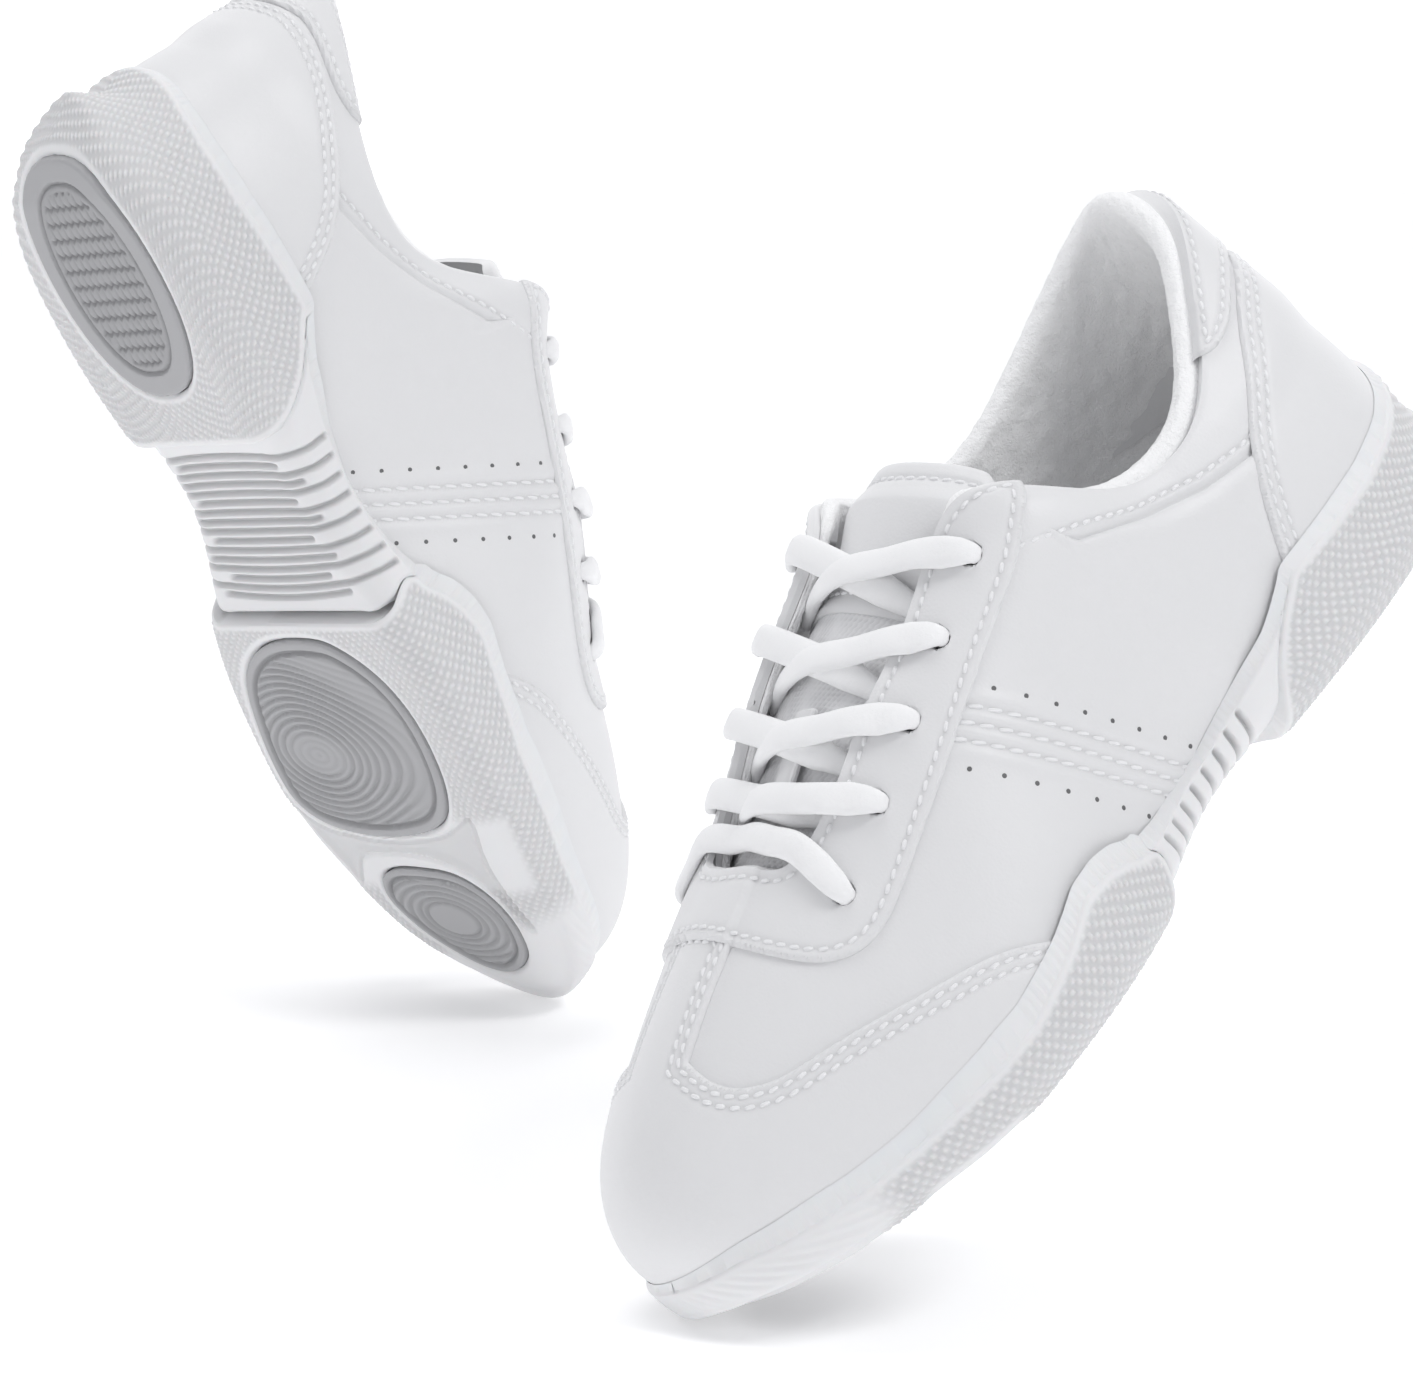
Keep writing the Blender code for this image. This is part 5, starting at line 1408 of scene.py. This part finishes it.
# ================================================================ laces
def ribbon(path, ups, wide, thick, sides=20):
    """Flat-oval braided cord swept along a path."""
    fine = curve(path, 14)
    run = arc_length(fine)
    count = int(run[-1] / 0.5)
    even = np.linspace(0, run[-1], count)
    line = rows_at(even, run, fine)
    coarse = np.linspace(0, 1, len(path))
    share = np.interp(even, run, np.arange(len(fine)) / 14) / (len(path) - 1)
    up0 = rows_at(share, coarse, np.array(ups))
    w = np.interp(share, coarse, wide) / 2
    h = np.interp(share, coarse, thick) / 2
    ahead = unit(np.gradient(line, axis=0))
    across = unit(np.cross(ahead, up0))
    up = np.cross(across, ahead)
    angle = 2 * math.pi * np.arange(sides) / sides
    c = np.sign(np.cos(angle)) * np.abs(np.cos(angle)) ** 0.8
    s = np.sin(angle)
    braid = np.cos(2 * math.pi * (even[:, None] / 1.5 + np.abs(np.cos(angle))[None, :] * 0.9))
    ring = (line[:, None] + across[:, None] * (w[:, None] * c[None])[:, :, None]
            + up[:, None] * ((h[:, None] * s[None]) * (1 + 0.05 * braid))[:, :, None])
    points = ring.reshape(-1, 3)
    faces = []
    for r in range(count - 1):
        for k in range(sides):
            q = (k + 1) % sides
            a, b = r * sides + k, r * sides + q
            faces.append([a, a + sides, b + sides, b])
    faces.append(list(range(sides)))
    faces.append(list(range((count - 1) * sides, count * sides))[::-1])
    return points, faces


def strand(k, side, bar):
    """Path of one strand: out of its eyelet, over the stay, across the tongue."""
    place, n = eyelet(k, side)
    lean = 0.20 if bar else LACE_LEAN
    edge, edge_n = point_on(at_station(FIRST_EYELET + EYELETS[k][0] + lean, side), 1.0)
    reach = 0 if bar else LACE_REACH[k]
    far_u = at_station(FIRST_EYELET + EYELETS[k][0] + reach, -side)
    far, far_n = point_on(far_u, 1.0)
    hidden, hidden_n = point_on(far_u, 0.93)
    up = np.array([0.3, 0, 1.0]) / math.hypot(0.3, 1.0)
    proud = OVERLAY + LACE_THICK / 2
    toward = edge - place
    back = -toward / np.linalg.norm(toward)
    path = [place + back * 0.4 - n * 1.8, place + back * 0.8 + n * (proud - 1.4),
            place + toward * 0.14 + n * (proud + 0.1), place + toward * 0.5 + n * (proud + 0.3),
            edge + edge_n * (proud + 0.1)]
    rise = LACE_THICK * (0.50 if side > 0 else -0.12)
    path.append(edge * 0.74 + far * 0.26 + up * (2.0 + rise * 0.5))
    path.append((edge + far) / 2 + up * (2.2 + rise))
    if not bar:
        path.append(edge * 0.26 + far * 0.74 + up * (0.2 + rise * 0.5))
        path.append(edge * 0.06 + far * 0.94 - far_n * 3.2)
        path.append(hidden - hidden_n * 4.6)
    return path, up, n


def laces():
    for k in range(5):
        if k == 4:
            a, up, n_a = strand(k, 1, True)
            b, up, n_b = strand(k, -1, True)
            path = a[:-1] + [(a[-1] + b[-1]) / 2] + b[:-1][::-1]
            ups = [n_a] * 4 + [up] * (len(path) - 8) + [n_b] * 4
            wide = [3.6, 4.4, 6.0] + [LACE_WIDE * 0.92] * (len(path) - 6) + [6.0, 4.4, 3.6]
            points, faces = ribbon(path, ups, wide, [LACE_THICK] * len(path))
        else:
            parts = []
            for side in (1, -1):
                path, up, n = strand(k, side, False)
                ups = [n] * 4 + [up] * (len(path) - 4)
                wide = [3.6, 4.4, 6.2] + [LACE_WIDE] * (len(path) - 5) + [LACE_WIDE * 0.7] * 2
                parts.append(ribbon(path, ups, wide, [LACE_THICK] * len(path)))
            points, faces = join(parts)
        key = "lace_%d" % (k + 1)
        publish(key, points, faces, "braid", (key,), bends=k == 4, sharp=60)


uppers()
lining()
soles()
insole()
tongue()
laces()


# ================================================================ floor, light, camera
def plain(name, colour, roughness):
    mat = bpy.data.materials.new(name)
    mat.use_nodes = True
    bsdf = mat.node_tree.nodes["Principled BSDF"]
    bsdf.inputs["Base Color"].default_value = (*colour, 1)
    bsdf.inputs["Roughness"].default_value = roughness
    return mat


def backdrop():
    """Pale floor that curves up into a wall far behind the shoes."""
    line = [(-4.0, FLOOR_Z), (2.2, FLOOR_Z)]
    for k in range(1, 13):
        w = math.pi / 2 * k / 12
        line.append((2.2 + 1.2 * math.sin(w), 1.2 * (1 - math.cos(w)) + FLOOR_Z))
    line.append((3.4, 4.0))
    points = [(x, y, z) for x in (-6.0, 6.0) for y, z in line]
    n = len(line)
    faces = [[k, n + k, n + k + 1, k + 1] for k in range(n - 1)]
    mesh = bpy.data.meshes.new("floor")
    mesh.from_pydata(points, [], faces)
    mesh.polygons.foreach_set("use_smooth", np.ones(len(faces), bool))
    for name, glow in (("floor", 0.22), ("wall", 0.75)):
        mat = plain(name, (0.95, 0.95, 0.955), 0.8)
        bsdf = mat.node_tree.nodes["Principled BSDF"]
        bsdf.inputs["Emission Color"].default_value = (1, 1, 1, 1)
        bsdf.inputs["Emission Strength"].default_value = glow
        bsdf.inputs["Specular IOR Level"].default_value = 0.1
        mesh.materials.append(mat)
    mesh.polygons.foreach_set("material_index", [0] + [1] * (len(faces) - 1))
    floor = bpy.data.objects.new("floor", mesh)
    bpy.context.scene.collection.objects.link(floor)


backdrop()


def softbox(name, place, aim, size, power):
    light = bpy.data.lights.new(name, "AREA")
    light.shape = "RECTANGLE"
    light.size, light.size_y = size
    light.energy = power
    obj = bpy.data.objects.new(name, light)
    obj.location = place
    way = Vector(aim) - Vector(place)
    obj.rotation_euler = way.to_track_quat("-Z", "Y").to_euler()
    bpy.context.scene.collection.objects.link(obj)


softbox("key", (1.0, -0.8, 1.5), (0, 0, 0.1), (0.6, 0.5), 12)
softbox("top", (-0.5, 0.1, 1.8), (0, 0, 0.1), (0.9, 0.8), 9)
softbox("fill", (-1.4, -1.3, 0.4), (0, 0, 0.12), (1.0, 1.0), 3)

world = bpy.data.worlds.new("studio")
world.use_nodes = True
world.node_tree.nodes["Background"].inputs["Color"].default_value = (0.95, 0.96, 1.0, 1)
world.node_tree.nodes["Background"].inputs["Strength"].default_value = 0.44
bpy.context.scene.world = world
bpy.context.scene.view_settings.view_transform = "Standard"

lens = bpy.data.cameras.new("camera")
lens.lens = CAMERA_LENS
lens.sensor_width = 36
camera = bpy.data.objects.new("camera", lens)
camera.location = CAMERA_PLACE
camera.rotation_euler = (math.radians(CAMERA_TILT), 0, 0)
bpy.context.scene.collection.objects.link(camera)
bpy.context.scene.camera = camera
